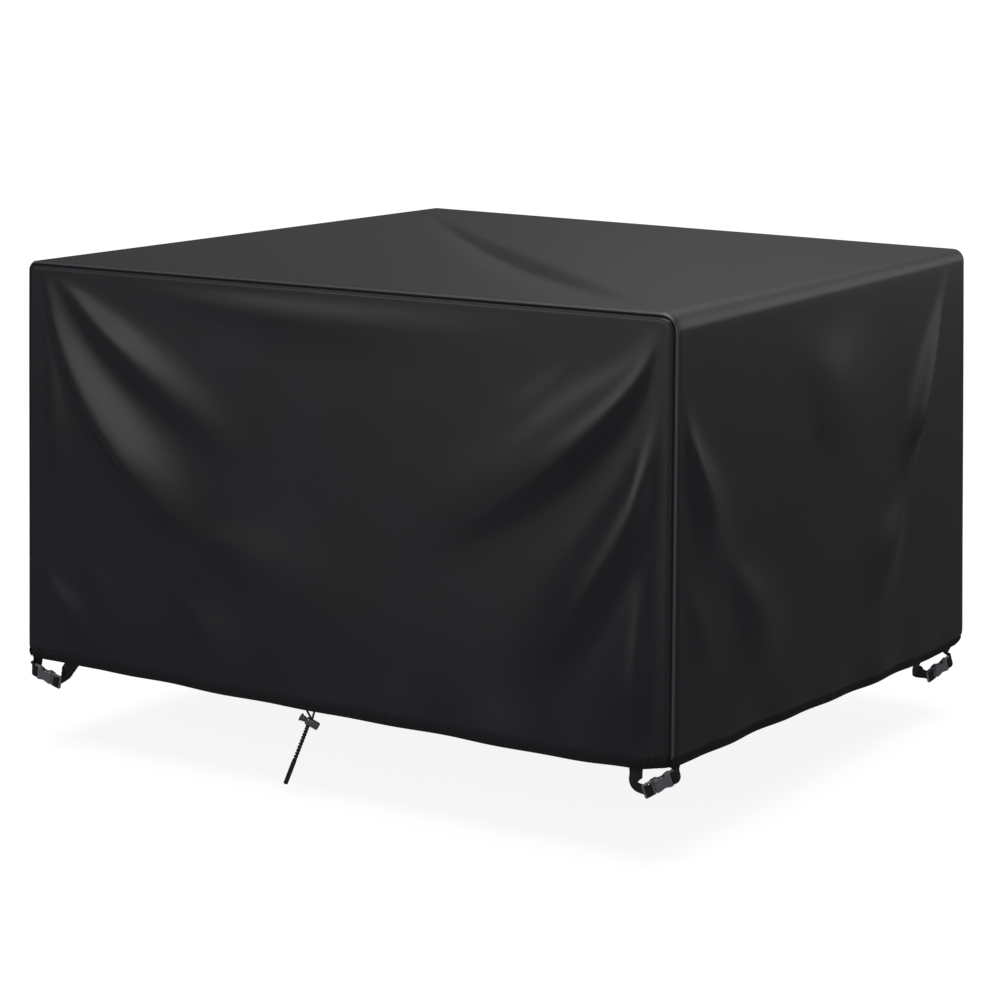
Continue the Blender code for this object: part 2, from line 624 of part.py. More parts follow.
def bar_loop():
    """The short webbing's way round the fixed bar, as places in the buckle's frame."""
    return [Vector((x, 0.0, z)) * MM for x, z in BAR_LOOP]


def ladder_weave(entry, skew):
    """The long webbing's way through the ladder frame, coming in at its two angles."""
    back, aside = math.radians(entry), math.radians(skew)
    coming = Vector((-math.cos(back) * math.cos(aside), math.sin(aside), -math.sin(back) * math.cos(aside)))
    woven = [Vector((x, 0.0, z)) for x, z in LADDER_WEAVE]
    return [point * MM for point in [woven[0] + coming * run for run in ENTRY_RUNS] + woven]


def add_strap(strap_set, seat, weave, slack, name, finish, home):
    """One webbing strap, from inside the hem to its end of the buckle and round the bar."""
    frame = buckle_frame(strap_set)
    side = frame.to_3x3().col[1]
    edges = seat_edges(seat, side)
    start = (edges[-1][0] + edges[-1][1]) / 2
    seat_side = math.copysign(1.0, (start - frame.translation).dot(side))
    woven = [frame @ (place * Vector((1.0, seat_side, 1.0))) for place in weave]
    leave = start - (edges[-2][0] + edges[-2][1]) / 2
    arrive = woven[1] - woven[0]
    span = (woven[0] - start).length
    first = (edges[-1][1] - edges[-1][0]).normalized()
    steps = 8
    free = spline_points(start, start + leave.normalized() * span * slack.leave,
                         woven[0] - arrive.normalized() * span * slack.arrive, woven[0], steps)
    line = [start] + free + [woven[0]]
    for step, centre in enumerate(free, 1):
        along = (line[step + 1] - line[step - 1]).normalized()
        width = first.slerp(side, smooth((step / steps - slack.straight) / (1 - slack.straight)))
        width = (width - along * width.dot(along) * WEB_SKEW).normalized() * WEB_WIDTH / 2
        edges.append((centre - width, centre + width))
    edges += [(centre - side * WEB_WIDTH / 2, centre + side * WEB_WIDTH / 2) for centre in woven]
    return add_ribbon(name, edges, finish, home)


# ---- buckles --------------------------------------------------------------------------------------
PRONG_OUTLINE = ((-29.0, 13.0), (-27.5, 14.5), (-10.5, 14.5), (-9.0, 13.0), (-9.0, 9.0), (0.5, 8.6),
                 (2.2, 11.2), (6.5, 11.2), (10.0, 8.4), (12.5, 6.8), (11.0, 5.6), (-9.0, 5.6),
                 (-9.0, 2.2), (9.0, 1.6))
LADDER_SLOTS = ((-26.0, -22.0), (-18.5, -13.5))
SOCKET_OUTLINE = ((-8.7, 12.4), (-7.6, 13.2), (0.0, 12.6), (3.5, 11.0), (8.5, 11.0), (13.0, 13.2),
                  (18.0, 14.5), (27.8, 14.5), (29.0, 13.2))
BAR_SLOT = (21.0, 25.5)


def flat_plate(name, half_outline, slots, thickness):
    """A plate cut to a mirrored outline with cross slots, as one welded mesh."""
    curve = bpy.data.curves.new(name, "CURVE")
    curve.dimensions = "2D"
    curve.fill_mode = "BOTH"
    curve.extrude = thickness / 2
    mirrored = [(x, -y) for x, y in reversed(half_outline)]
    loops = [list(half_outline) + mirrored]
    for left, right in slots:
        wide = SLOT_WIDE / MM
        loops.append([(left, -wide), (right, -wide), (right, wide), (left, wide)])
    for loop in loops:
        spline = curve.splines.new("POLY")
        spline.points.add(len(loop) - 1)
        spline.use_cyclic_u = True
        for point, (x, y) in zip(spline.points, loop):
            point.co = (x * MM, y * MM, 0.0, 1.0)
    drawn = bpy.data.objects.new(name, curve)
    bpy.context.scene.collection.objects.link(drawn)
    bpy.context.view_layer.update()
    mesh = bpy.data.meshes.new_from_object(drawn.evaluated_get(bpy.context.evaluated_depsgraph_get()))
    bpy.data.objects.remove(drawn, do_unlink=True)
    welded = bmesh.new()
    welded.from_mesh(mesh)
    bmesh.ops.remove_doubles(welded, verts=welded.verts, dist=0.00001)
    bmesh.ops.recalc_face_normals(welded, faces=welded.faces)
    welded.to_mesh(mesh)
    welded.free()
    return mesh


def add_cutter(name, low, high, home):
    """A block from low to high, in millimetres of the frame that it cuts in."""
    block = bmesh.new()
    size = [(b - a) * MM for a, b in zip(low, high)]
    middle = [(b + a) / 2 * MM for a, b in zip(low, high)]
    bmesh.ops.create_cube(block, size=1.0, matrix=Matrix.Translation(middle) @ Matrix.Diagonal((*size, 1.0)))
    mesh = bpy.data.meshes.new(name)
    block.to_mesh(mesh)
    block.free()
    cutter = bpy.data.objects.new(name, mesh)
    home.objects.link(cutter)
    cutter.hide_render = True
    cutter.display_type = "WIRE"
    return cutter


def cut(made, cutter):
    trimmed = made.modifiers.new(cutter.name, "BOOLEAN")
    trimmed.operation = "DIFFERENCE"
    trimmed.solver = "EXACT"
    trimmed.object = cutter


def add_buckle(strap_set, finish, home, cutters):
    frame = buckle_frame(strap_set)
    prong_mesh = flat_plate("prong_plate", PRONG_OUTLINE, LADDER_SLOTS, PLATE)
    prong = add_object("buckle_prong_" + strap_set.name, prong_mesh, finish, home)
    prong.matrix_world = frame
    socket_mesh = flat_plate("socket_plate", SOCKET_OUTLINE, (BAR_SLOT,), SHELL)
    socket = add_object("buckle_socket_" + strap_set.name, socket_mesh, finish, home)
    socket.matrix_world = frame
    half, cavity = PLATE / 2 / MM, CAVITY_HIGH / 2 / MM
    blocks = {
        "cavity": ((-9.5, -9.6, -cavity), (14.0, 9.6, cavity)),
        "windows": ((0.7, -20.0, -cavity - 0.2), (11.6, 20.0, cavity + 0.2)),
        "bar_top": ((20.2, -16.0, half), (30.0, 16.0, 5.0)),
        "bar_under": ((20.2, -16.0, -5.0), (30.0, 16.0, -half)),
    }
    for label, (low, high) in blocks.items():
        cutter = add_cutter("%s_cut_%s" % (label, strap_set.name), low, high, cutters)
        cutter.matrix_world = frame
        cut(socket, cutter)
    return prong, socket


# ---- the cord lock and the drawcord ------------------------------------------------------------------
def turned_piece(name, profile, finish, home, steps=20):
    """A profile of (radius, height) pairs turned about Z. It runs down its outer side."""
    outline = bmesh.new()
    corners = [outline.verts.new((radius, 0.0, height)) for radius, height in profile]
    for first, second in zip(corners[:-1], corners[1:]):
        outline.edges.new((first, second))
    mesh = bpy.data.meshes.new(name)
    outline.to_mesh(mesh)
    outline.free()
    made = bpy.data.objects.new(name, mesh)
    home.objects.link(made)
    mesh.materials.append(finish)
    screw = made.modifiers.new("turned", "SCREW")
    screw.steps = steps
    screw.render_steps = steps
    screw.use_merge_vertices = True
    screw.merge_threshold = 0.00001
    screw.use_smooth_shade = True
    return made


def lock_frame():
    """The cord lock's frame: z from the barrel's mouth towards the head, x along its hole."""
    up = -PRESS_AXIS
    through = (TAIL_LINE - up * TAIL_LINE.dot(up)).normalized()
    frame = Matrix((through, up.cross(through), up)).transposed().to_4x4()
    frame.translation = Vector(LOCK_HOLE) + up * HOLE_BELOW_MOUTH
    return frame


def add_cord_lock(finish, home, cutters):
    frame = lock_frame()
    bevel = 0.0007
    barrel = turned_piece("toggle_barrel", (
        (0.0, -BORE_DEPTH), (BORE_RADIUS, -BORE_DEPTH), (BORE_RADIUS, 0.0),
        (BARREL_RADIUS - bevel, 0.0), (BARREL_RADIUS, -bevel), (BARREL_RADIUS, -BARREL_LENGTH + bevel),
        (BARREL_RADIUS - bevel, -BARREL_LENGTH), (0.0, -BARREL_LENGTH)), finish, home)
    head_top = NECK + HEAD_LENGTH
    groove = HEAD_LENGTH / 2
    plunger = turned_piece("toggle_plunger", (
        (0.0, head_top), (BARREL_RADIUS - 2 * bevel, head_top), (BARREL_RADIUS, head_top - bevel),
        (BARREL_RADIUS, NECK + groove + bevel), (STEM_RADIUS + bevel, NECK + groove),
        (STEM_RADIUS + bevel, NECK + bevel), (BARREL_RADIUS - bevel, NECK + bevel),
        (BARREL_RADIUS - bevel, NECK), (STEM_RADIUS, NECK), (STEM_RADIUS, -STEM_DEPTH),
        (0.0, -STEM_DEPTH)), finish, home)
    middle = -HOLE_BELOW_MOUTH
    half = HOLE_LONG / 2
    barrel_slot = ((-10.0, -HOLE_WIDE / 2 / MM, (middle - half) / MM),
                   (10.0, HOLE_WIDE / 2 / MM, (middle + half) / MM))
    stem_slot = ((-10.0, -HOLE_WIDE / 2 / MM, (middle - half) / MM),
                 (10.0, HOLE_WIDE / 2 / MM, (middle + half + PRESS_TRAVEL + GAP) / MM))
    for made, slot in ((barrel, barrel_slot), (plunger, stem_slot)):
        made.matrix_world = frame
        cutter = add_cutter(made.name + "_slot", *slot, cutters)
        cutter.matrix_world = frame
        cut(made, cutter)
    return barrel, plunger


def strand_centres(side):
    """A strand's centres: out from behind the hem, through the lock, then the twist."""
    sign = -1.0 if side == "left" else 1.0
    hole = Vector(LOCK_HOLE)
    through = lock_frame().to_3x3().col[0]
    stacked = PRESS_AXIS * STRAND_OFFSET * sign
    inside = CLOTH + 5 * GAP + CORD / 2
    centres = []
    point, normal, _, down = wall_frame("front", STRAND_EXITS[side], 0.0)
    for drop in (-0.005, 0.0, 0.003):
        centres.append(point - normal * inside + down * drop)
    centres += [hole + through * along + stacked for along in (-0.0092, -0.0072, 0.0, 0.0072)]
    second = TAIL_LINE.cross(PRESS_AXIS).normalized()
    first = second.cross(TAIL_LINE)
    steps = round(TWIST_LENGTH / TWIST_PITCH * TWIST_POINTS_PER_TURN)
    for step in range(1, steps + 1):
        share = step / steps
        angle = 2 * math.pi * TWIST_LENGTH / TWIST_PITCH * (share - 0.06 * (1 - share) * math.exp(-12 * share))
        turned = first * math.cos(angle) + second * math.sin(angle)
        centres.append(hole + through * 0.0072 + TAIL_LINE * TWIST_LENGTH * share
                       + turned * STRAND_OFFSET * sign)
    return centres


def smooth_route(points, per_span):
    """A Catmull-Rom curve through the points, per_span points to each stretch."""
    route = [points[0]]
    for index in range(len(points) - 1):
        before = points[max(index - 1, 0)]
        start, end = points[index], points[index + 1]
        after = points[min(index + 2, len(points) - 1)]
        for step in range(1, per_span + 1):
            t = step / per_span
            route.append(0.5 * (2 * start + (end - before) * t
                                + (2 * before - 5 * start + 4 * end - after) * t ** 2
                                + (3 * start - before - 3 * end + after) * t ** 3))
    return route


def add_strand(side, finish, home):
    centres = strand_centres(side)
    route = smooth_route(centres[:4], 3) + centres[4:]
    curve = bpy.data.curves.new("cord_strand_" + side, "CURVE")
    curve.dimensions = "3D"
    curve.bevel_depth = CORD / 2
    curve.bevel_resolution = 2
    curve.use_fill_caps = True
    spline = curve.splines.new("POLY")
    spline.points.add(len(route) - 1)
    for point, centre in zip(spline.points, route):
        point.co = (*centre, 1.0)
    return add_object("cord_strand_" + side, curve, finish, home)


def add_sleeve(finish, home):
    bevel = 0.0008
    sleeve = turned_piece("cord_end_sleeve", (
        (0.0, 0.0), (SLEEVE_RADIUS - bevel, 0.0), (SLEEVE_RADIUS, -bevel),
        (SLEEVE_RADIUS, -SLEEVE_LENGTH + bevel), (SLEEVE_RADIUS - bevel, -SLEEVE_LENGTH),
        (0.0, -SLEEVE_LENGTH)), finish, home, 16)
    up = -TAIL_LINE
    across = up.orthogonal().normalized()
    frame = Matrix((across, up.cross(across), up)).transposed().to_4x4()
    through = lock_frame().to_3x3().col[0]
    frame.translation = Vector(LOCK_HOLE) + through * 0.0072 + TAIL_LINE * (TWIST_LENGTH + 0.0015)
    sleeve.matrix_world = frame
    return sleeve


def main():
    clear_scene()
    home = collection("patio_furniture_cover")
    cutters = collection("cutters")
    cloth = material("coated_polyester", (0.020, 0.021, 0.022), 0.50)
    webbing = material("polypropylene_webbing", (0.010, 0.010, 0.011), 0.80)
    buckle_plastic = material("acetal_buckle", (0.020, 0.021, 0.024), 0.38)
    lock_plastic = material("moulded_cord_lock", (0.060, 0.060, 0.062), 0.45)
    cord = material("braided_cord", (0.012, 0.012, 0.012), 0.75)

    add_band(cloth, home)
    add_panel("front", ((0.450, 11), (0.930, 6), (panel_width("front") - 0.060, 10)),
              ((0.480, 11), (0.640, 3)), cloth, home)
    add_panel("back", ((0.400, 6), (0.930, 5), (panel_width("back") - 0.060, 6)),
              ((0.480, 6), (0.640, 2)), cloth, home)
    for strap_set in STRAP_SETS:
        add_buckle(strap_set, buckle_plastic, home, cutters)
        add_strap(strap_set, strap_set.long_seat, ladder_weave(strap_set.entry, strap_set.skew),
                  LONG_SLACK, "strap_long_" + strap_set.name, webbing, home)
        add_strap(strap_set, strap_set.short_seat, bar_loop(), SHORT_SLACK,
                  "strap_short_" + strap_set.name, webbing, home)
    add_cord_lock(lock_plastic, home, cutters)
    for side in STRAND_EXITS:
        add_strand(side, cord, home)
    add_sleeve(cord, home)


main()
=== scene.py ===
"""A patio furniture cover as it looks: coated black cloth, webbing straps and a drawcord.

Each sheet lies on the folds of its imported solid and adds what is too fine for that: softer folds,
the hem's stitched casing and its puckers, the groove beside each seam and the weave. Metres, +Z up,
and the front faces -Y.
"""

import json
import math
from collections import namedtuple

import bmesh
import bpy
import numpy as np
from mathutils import Matrix, Vector

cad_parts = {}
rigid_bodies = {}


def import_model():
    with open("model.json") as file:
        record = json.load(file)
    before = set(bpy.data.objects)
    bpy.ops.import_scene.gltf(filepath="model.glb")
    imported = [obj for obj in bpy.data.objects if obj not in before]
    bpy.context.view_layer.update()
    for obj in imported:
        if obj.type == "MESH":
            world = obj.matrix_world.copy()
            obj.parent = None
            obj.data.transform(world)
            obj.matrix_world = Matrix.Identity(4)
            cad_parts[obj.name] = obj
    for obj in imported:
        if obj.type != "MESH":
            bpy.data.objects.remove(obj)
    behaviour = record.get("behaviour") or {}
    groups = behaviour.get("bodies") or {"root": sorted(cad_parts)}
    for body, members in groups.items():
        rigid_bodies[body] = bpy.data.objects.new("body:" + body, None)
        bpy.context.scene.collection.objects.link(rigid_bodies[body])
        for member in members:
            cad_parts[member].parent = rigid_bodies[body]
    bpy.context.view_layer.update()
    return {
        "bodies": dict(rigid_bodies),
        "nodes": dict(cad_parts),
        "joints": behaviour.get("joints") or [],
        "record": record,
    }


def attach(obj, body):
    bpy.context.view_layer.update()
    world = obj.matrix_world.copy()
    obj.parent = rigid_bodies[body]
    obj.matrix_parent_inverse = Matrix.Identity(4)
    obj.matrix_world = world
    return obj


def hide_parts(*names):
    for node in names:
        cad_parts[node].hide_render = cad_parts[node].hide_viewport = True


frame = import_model()
bpy.ops.object.select_all(action="DESELECT")

# ---- driving dimensions of the cover ----
MM = 0.001
TOP_LENGTH = 1.300
TOP_DEPTH = 1.170
TOP_LEVEL = 0.002
HEM_LEVEL = -0.741
HEIGHT = TOP_LEVEL - HEM_LEVEL
HEM_FLARE_X = 0.026
HEM_FLARE_Y = -0.008
CLOTH = 0.002
GAP = 0.0003
SEAM_GAP = 0.0010

# ---- how each corner departs from a true box, the radius that its top edge bends at, and
# how far its hem tucks in ----
Corner = namedtuple("Corner", "x_side y_side top_shift hem_shift bend tuck")
CORNERS = (
    Corner(-1, -1, (-0.010, -0.007, 0.003), (-0.022, -0.016, 0.008), 0.019, 0.002),
    Corner(1, -1, (0.021, 0.010, -0.003), (-0.003, 0.003, 0.019), 0.030, 0.004),
    Corner(1, 1, (-0.011, -0.005, -0.003), (-0.004, -0.007, -0.022), 0.021, 0.009),
    Corner(-1, 1, (0.022, 0.018, 0.017), (-0.010, 0.006, -0.004), 0.038, 0.006),
)

# ---- the lapped seam: a lip of the long cloth lies on the panel's edge ----
SEAM_FLAT = 0.0050
SEAM_LAP = 0.0032
LIP_FLAT = 0.0044
LIP_FOOT = 0.0080
EDGE_ROUND_TOP = 0.007
EDGE_ROUND_HEM = 0.012
LIP_HEIGHT = CLOTH + SEAM_GAP
# The panel sinks beside the lip, and is pressed dull there. The lip's fold gets a pale painted highlight.
GROOVE_DEEP = 0.0022
GROOVE_PLACE = 0.0022
GROOVE_WIDE = 0.0020
PRESSED_PLACE = 0.0024
PRESSED_WIDE = 0.0024
PRESSED_FADE = 0.002
PAINTED_HIGHLIGHT_TO = 0.0030
PAINTED_HIGHLIGHT_FADE = 0.0026

# ---- the hem: waves are in radians along each metre of it ----
HEM_BAND = 0.025
HEM_TUCK_REACH = 0.030
HEM_WAVE = 0.002
HEM_WAVE_REACH = 0.110
SHORT_WAVE = 33.0
LONG_WAVE = 20.0
LONG_WAVE_SHARE = 0.6
WAVE_STEP = 1.3
CASING = 0.017
CASING_REACH = 0.024
CASING_FULL = 0.0008
STITCH_DEEP = 0.0013
STITCH_WIDE = 0.0016
GATHER_DEEP = 0.0009
GATHER_PLACE = 0.75 * CASING
GATHER_WIDE = 0.006

HemSag = namedtuple("HemSag", "wall share drop")
HEM_SAGS = (
    HemSag("front", 0.22, 0.004), HemSag("front", 0.40, 0.009), HemSag("front", 0.66, 0.011),
    HemSag("front", 0.86, 0.014), HemSag("front", 0.95, 0.010),
    HemSag("right", 0.30, 0.000), HemSag("right", 0.65, 0.005), HemSag("right", 0.88, 0.006),
    HemSag("back", 0.35, 0.009), HemSag("back", 0.75, 0.006),
    HemSag("left", 0.40, 0.007),
)

# ---- folds: soft ridges (or troughs, with a height below nought) on each face ----
# A place on a face is (across, down): across from its left edge as seen from outside, down
# from its top edge. On the top it is (from the left end, from the front edge).
# Its flanks are each side's reach, and peak is how far along it stands highest.
Fold = namedtuple("Fold", "wall start half_way end upper lower height peak")
FOLDS = (
    Fold("front", (0.044, 0.040), (0.158, 0.256), (0.400, 0.475), 0.062, 0.026, 0.024, 0.68),
    Fold("front", (0.070, 0.018), (0.250, 0.158), (0.540, 0.330), 0.042, 0.036, 0.013, 0.45),
    Fold("front", (0.034, 0.080), (0.064, 0.260), (0.058, 0.420), 0.022, 0.020, 0.003, 0.50),
    Fold("front", (0.034, 0.553), (0.090, 0.629), (0.160, 0.715), 0.034, 0.028, 0.005, 0.50),
    Fold("front", (0.125, 0.480), (0.185, 0.610), (0.300, 0.740), 0.040, 0.036, 0.002, 0.50),
    Fold("front", (0.380, 0.450), (0.560, 0.500), (0.800, 0.560), 0.080, 0.080, 0.006, 0.40),
    Fold("front", (0.350, 0.560), (0.430, 0.650), (0.520, 0.743), 0.060, 0.045, 0.004, 0.50),
    Fold("front", (1.290, 0.040), (1.150, 0.220), (0.800, 0.450), 0.064, 0.036, 0.024, 0.52),
    Fold("front", (1.150, 0.075), (1.070, 0.155), (0.960, 0.232), 0.026, 0.024, 0.002, 0.50),
    Fold("front", (1.310, 0.100), (1.232, 0.370), (1.010, 0.650), 0.056, 0.042, 0.030, 0.60),
    Fold("front", (1.305, 0.290), (1.268, 0.540), (1.262, 0.743), 0.055, 0.032, 0.018, 0.60),
    Fold("front", (0.200, 0.012), (0.650, 0.040), (1.150, 0.030), 0.028, 0.060, 0.004, 0.40),
    Fold("right", (0.010, 0.120), (0.080, 0.290), (0.190, 0.440), 0.048, 0.032, 0.019, 0.52),
    Fold("right", (0.165, 0.400), (0.275, 0.520), (0.400, 0.640), 0.064, 0.050, 0.012, 0.50),
    Fold("right", (0.020, 0.420), (0.085, 0.510), (0.170, 0.640), 0.044, 0.036, 0.005, 0.50),
    Fold("right", (1.075, 0.050), (0.985, 0.200), (0.870, 0.400), 0.036, 0.022, 0.020, 0.72),
    Fold("right", (0.885, 0.400), (0.810, 0.510), (0.700, 0.640), 0.070, 0.048, 0.012, 0.50),
    Fold("right", (0.450, 0.120), (0.600, 0.220), (0.560, 0.360), 0.150, 0.150, 0.010, 0.40),
    Fold("top", (0.080, 1.070), (0.705, 0.490), (1.345, -0.050), 0.060, 0.024, -0.0126, 0.52),
    Fold("back", (0.040, 0.030), (0.150, 0.260), (0.340, 0.450), 0.070, 0.028, 0.020, 0.50),
    Fold("back", (1.280, 0.040), (1.150, 0.240), (0.950, 0.430), 0.066, 0.032, 0.019, 0.50),
    Fold("back", (0.480, 0.340), (0.560, 0.540), (0.560, 0.743), 0.060, 0.060, 0.010, 0.55),
    Fold("left", (0.030, 0.040), (0.130, 0.250), (0.300, 0.460), 0.060, 0.030, 0.018, 0.50),
    Fold("left", (1.120, 0.050), (1.010, 0.250), (0.860, 0.440), 0.060, 0.030, 0.018, 0.50),
    Fold("left", (0.420, 0.400), (0.520, 0.560), (0.540, 0.743), 0.070, 0.060, 0.010, 0.55),
)
FOLD_CALM = 0.012
FOLD_FREE = 0.050
# A fold starts this low and this narrow, as shares, and is at its full width this far along.
FOLD_LOW = 0.12
FOLD_NARROW = 0.30
FOLD_WIDE_AT = 0.7

# ---- webbing straps and side-release buckles ----
WEB_WIDTH = 0.0246
WEB = 0.0014
WEB_EDGE = 0.0004
WEB_CLEAR = 0.0013
WEB_SKEW = 0.55
WEAVE_STEPS = 3
FREE_STEPS = 8
WEB_SHARES = (0.0, 0.04, 0.25, 0.5, 0.75, 0.96, 1.0)

# A seat is where webbing is sewn inside the hem: its wall, the distance of its middle along the
# hem from the wall's left edge as seen from outside, and how far it leans along that way, in
# degrees. heading and slope give the buckle's axis from the ladder frame to the fixed bar, tilt
# how far its face looks down and face_side which side of the heading the face looks to. entry is
# how far round from the buckle's own axis to its back the long webbing comes in from, and skew how
# far it comes in from the side that its seat is on.
# Slack is how far webbing keeps its way at the hem and at the buckle, as shares of the span
# between them, and the share of it that stays untwisted below the hem. WEB_SKEW is how far the
# free webbing squares itself to its own way, from not at all at 0 to fully at 1.
Slack = namedtuple("Slack", "leave arrive straight")
LONG_SLACK = Slack(0.36, 0.36, 0.00)
PLUMB_SLACK = Slack(0.36, 0.36, 0.35)
SHORT_SLACK = Slack(0.62, 0.36, 0.20)
Seat = namedtuple("Seat", "wall across lean")
StrapSet = namedtuple("StrapSet", "name long_seat long_slack short_seat centre heading slope tilt "
                                  "face_side entry skew")
STRAP_SETS = (
    StrapSet("near", Seat("front", 1.264, 8), PLUMB_SLACK, Seat("right", 0.020, -14),
             (0.6510, -0.5760, -0.7480), 50, 23, 20, 1, 60, 0),
    StrapSet("left", Seat("front", 0.101, -44), LONG_SLACK, Seat("left", 1.143, 14),
             (-0.6340, -0.6030, -0.7600), 192, 21, 20, -1, 40, 58),
    StrapSet("far", Seat("right", 0.972, 48), LONG_SLACK, Seat("right", 1.134, -14),
             (0.6634, 0.4665, -0.7935), 60, 27, 18, 1, 34, 46),
    StrapSet("back", Seat("back", 1.214, 8), LONG_SLACK, Seat("left", 0.028, -14),
             (-0.6600, 0.5840, -0.7710), 230, 23, 20, 1, 60, 0),
)
CALM_STRAP = 0.060
# Webbing's way in the buckle's own frame, in millimetres: x along its axis, z out of its face.
LADDER_WEAVE = ((-24.7, -3.3), (-24.0, -1.6), (-24.0, 0.0), (-23.6, 2.4), (-22.0, 3.2), (-17.6, 3.3),
                (-15.2, 2.6), (-14.4, 0.0), (-14.4, -2.6), (-12.6, -4.8), (-9.0, -6.0), (-1.0, -6.4))
ENTRY_RUNS = (8.0, 2.6)
BAR_LOOP = ((32.6, 1.0), (31.2, 2.2), (29.0, 3.3), (25.0, 3.3), (22.6, 2.4), (21.9, 0.0),
            (22.6, -2.4), (25.0, -3.3), (29.0, -3.3), (31.2, -2.2), (32.6, -1.0))

# ---- drawcord and cord lock ----
CORD = 0.0038
STRAND_OFFSET = 0.00195
STRAND_EXITS = {"left": 0.6255, "right": 0.6405}
TWIST_PITCH = 0.0135
TWIST_LENGTH = 0.0745
TWIST_POINTS_PER_TURN = 10
# The twist lags by up to this share where it starts, fading this fast along it.
TWIST_LAG = 0.06
TWIST_LAG_FADE = 12
CORD_SIDES = 12
EXIT_DROPS = (-0.005, 0.0, 0.003)
HOLE_PLACES = (-0.0092, -0.0072, 0.0, 0.0072)
LOCK_HOLE = (-0.0405, -0.5830, -0.7563)
HOLE_BELOW_MOUTH = 0.0065
PRESS_AXIS = Vector((0.837, 0.305, -0.454)).normalized()
TAIL_LINE = Vector((-0.413, 0.0, -0.911)).normalized()

# ---- how finely the cloth is laid, and how round each moulding's edges are ----
PANEL_CELL = 0.0070
PANEL_EDGE = 0.045
BAND_WALL_CELL = 0.0140
BAND_TOP_CELL = 0.0098
BAND_CROSS_CELL = 0.0105
BAND_EDGE = 0.040
LOW_EDGE = 0.050
BEND_LENGTH = 0.04
BUCKLE_EDGE = 0.0009
SLEEVE_EDGE = 0.0004
LOCK_EDGE = 0.0003
WELD_GAP = 0.00002

ROOT_HALF = math.sqrt(0.5)
# A rounded edge's arc saves 1 - pi / 4 of its radius, and the flat at the seam root 2 - 1 of its width.
ROUND_SAVES = 0.2146
FLAT_SAVES = 0.4142


# ---- small helpers ----
def smooth(value):
    """0 below 0, 1 above 1, and an even S between."""
    value = np.clip(value, 0.0, 1.0)
    return value * value * (3.0 - 2.0 * value)


def unit(vectors):
    return vectors / np.linalg.norm(vectors, axis=-1, keepdims=True)


def mix(first, second, share):
    return first + (second - first) * np.asarray(share)[..., None]


def corner_points(level):
    """The four sharp corners of the top or of the hem, in the order of CORNERS."""
    points = []
    for corner in CORNERS:
        flare_x, flare_y = (HEM_FLARE_X, HEM_FLARE_Y) if level == "hem" else (0.0, 0.0)
        shift = corner.hem_shift if level == "hem" else corner.top_shift
        height = HEM_LEVEL if level == "hem" else TOP_LEVEL
        points.append(np.array((corner.x_side * (TOP_LENGTH / 2 + flare_x) + shift[0],
                                corner.y_side * (TOP_DEPTH / 2 + flare_y) + shift[1],
                                height + shift[2])))
    return points


TOP = corner_points("top")
HEM = corner_points("hem")
BEND = [corner.bend for corner in CORNERS]
FRONT_LEFT, FRONT_RIGHT, BACK_RIGHT, BACK_LEFT = range(4)
WALL_ENDS = {"front": (FRONT_LEFT, FRONT_RIGHT), "right": (FRONT_RIGHT, BACK_RIGHT),
             "back": (BACK_RIGHT, BACK_LEFT), "left": (BACK_LEFT, FRONT_LEFT)}


# ---- the rounded edge along a seam ----
def edge_shift(radius):
    """How much longer the sharp face is than its cloth, at each rounded edge."""
    return ROUND_SAVES * radius + FLAT_SAVES * SEAM_FLAT


def seam_inset(radius):
    """How far in from the neighbouring face's plane the seam's own line lies."""
    return (1 - ROOT_HALF) * radius + ROOT_HALF * SEAM_FLAT


def edge_inset(from_seam, radius):
    """Distance in from the neighbouring face's plane, for a distance from the seam."""
    flat = seam_inset(radius) + ROOT_HALF * from_seam
    turned = np.clip((from_seam - SEAM_FLAT) / radius, 0.0, math.pi / 4)
    bent = (seam_inset(radius) + ROOT_HALF * SEAM_FLAT
            + radius * (ROOT_HALF - np.sin(math.pi / 4 - turned)))
    straight = from_seam + edge_shift(radius)
    past = from_seam - SEAM_FLAT > radius * math.pi / 4
    return np.where(from_seam < SEAM_FLAT, flat, np.where(past, straight, bent))


def edge_depth(inset, radius):
    """Depth of the cloth under its own face's plane, for an inset from the neighbour's."""
    seam = seam_inset(radius)
    end = seam + ROOT_HALF * (SEAM_FLAT + radius)
    lean = np.clip((end - inset) / radius, 0.0, ROOT_HALF)
    bent = radius * (1 - np.sqrt(1 - lean * lean))
    return np.where(inset < seam + ROOT_HALF * SEAM_FLAT, 2 * seam - inset, bent)


# ---- folds and the hem's sag ----
def fold_line(fold, steps=24):
    """Points along a fold, on the curve that passes through its half-way place."""
    start, half_way, end = (np.array(place) for place in (fold.start, fold.half_way, fold.end))
    pull = 2 * half_way - (start + end) / 2
    share = np.linspace(0, 1, steps + 1)[:, None]
    return start * (1 - share) ** 2 + pull * 2 * share * (1 - share) + end * share ** 2


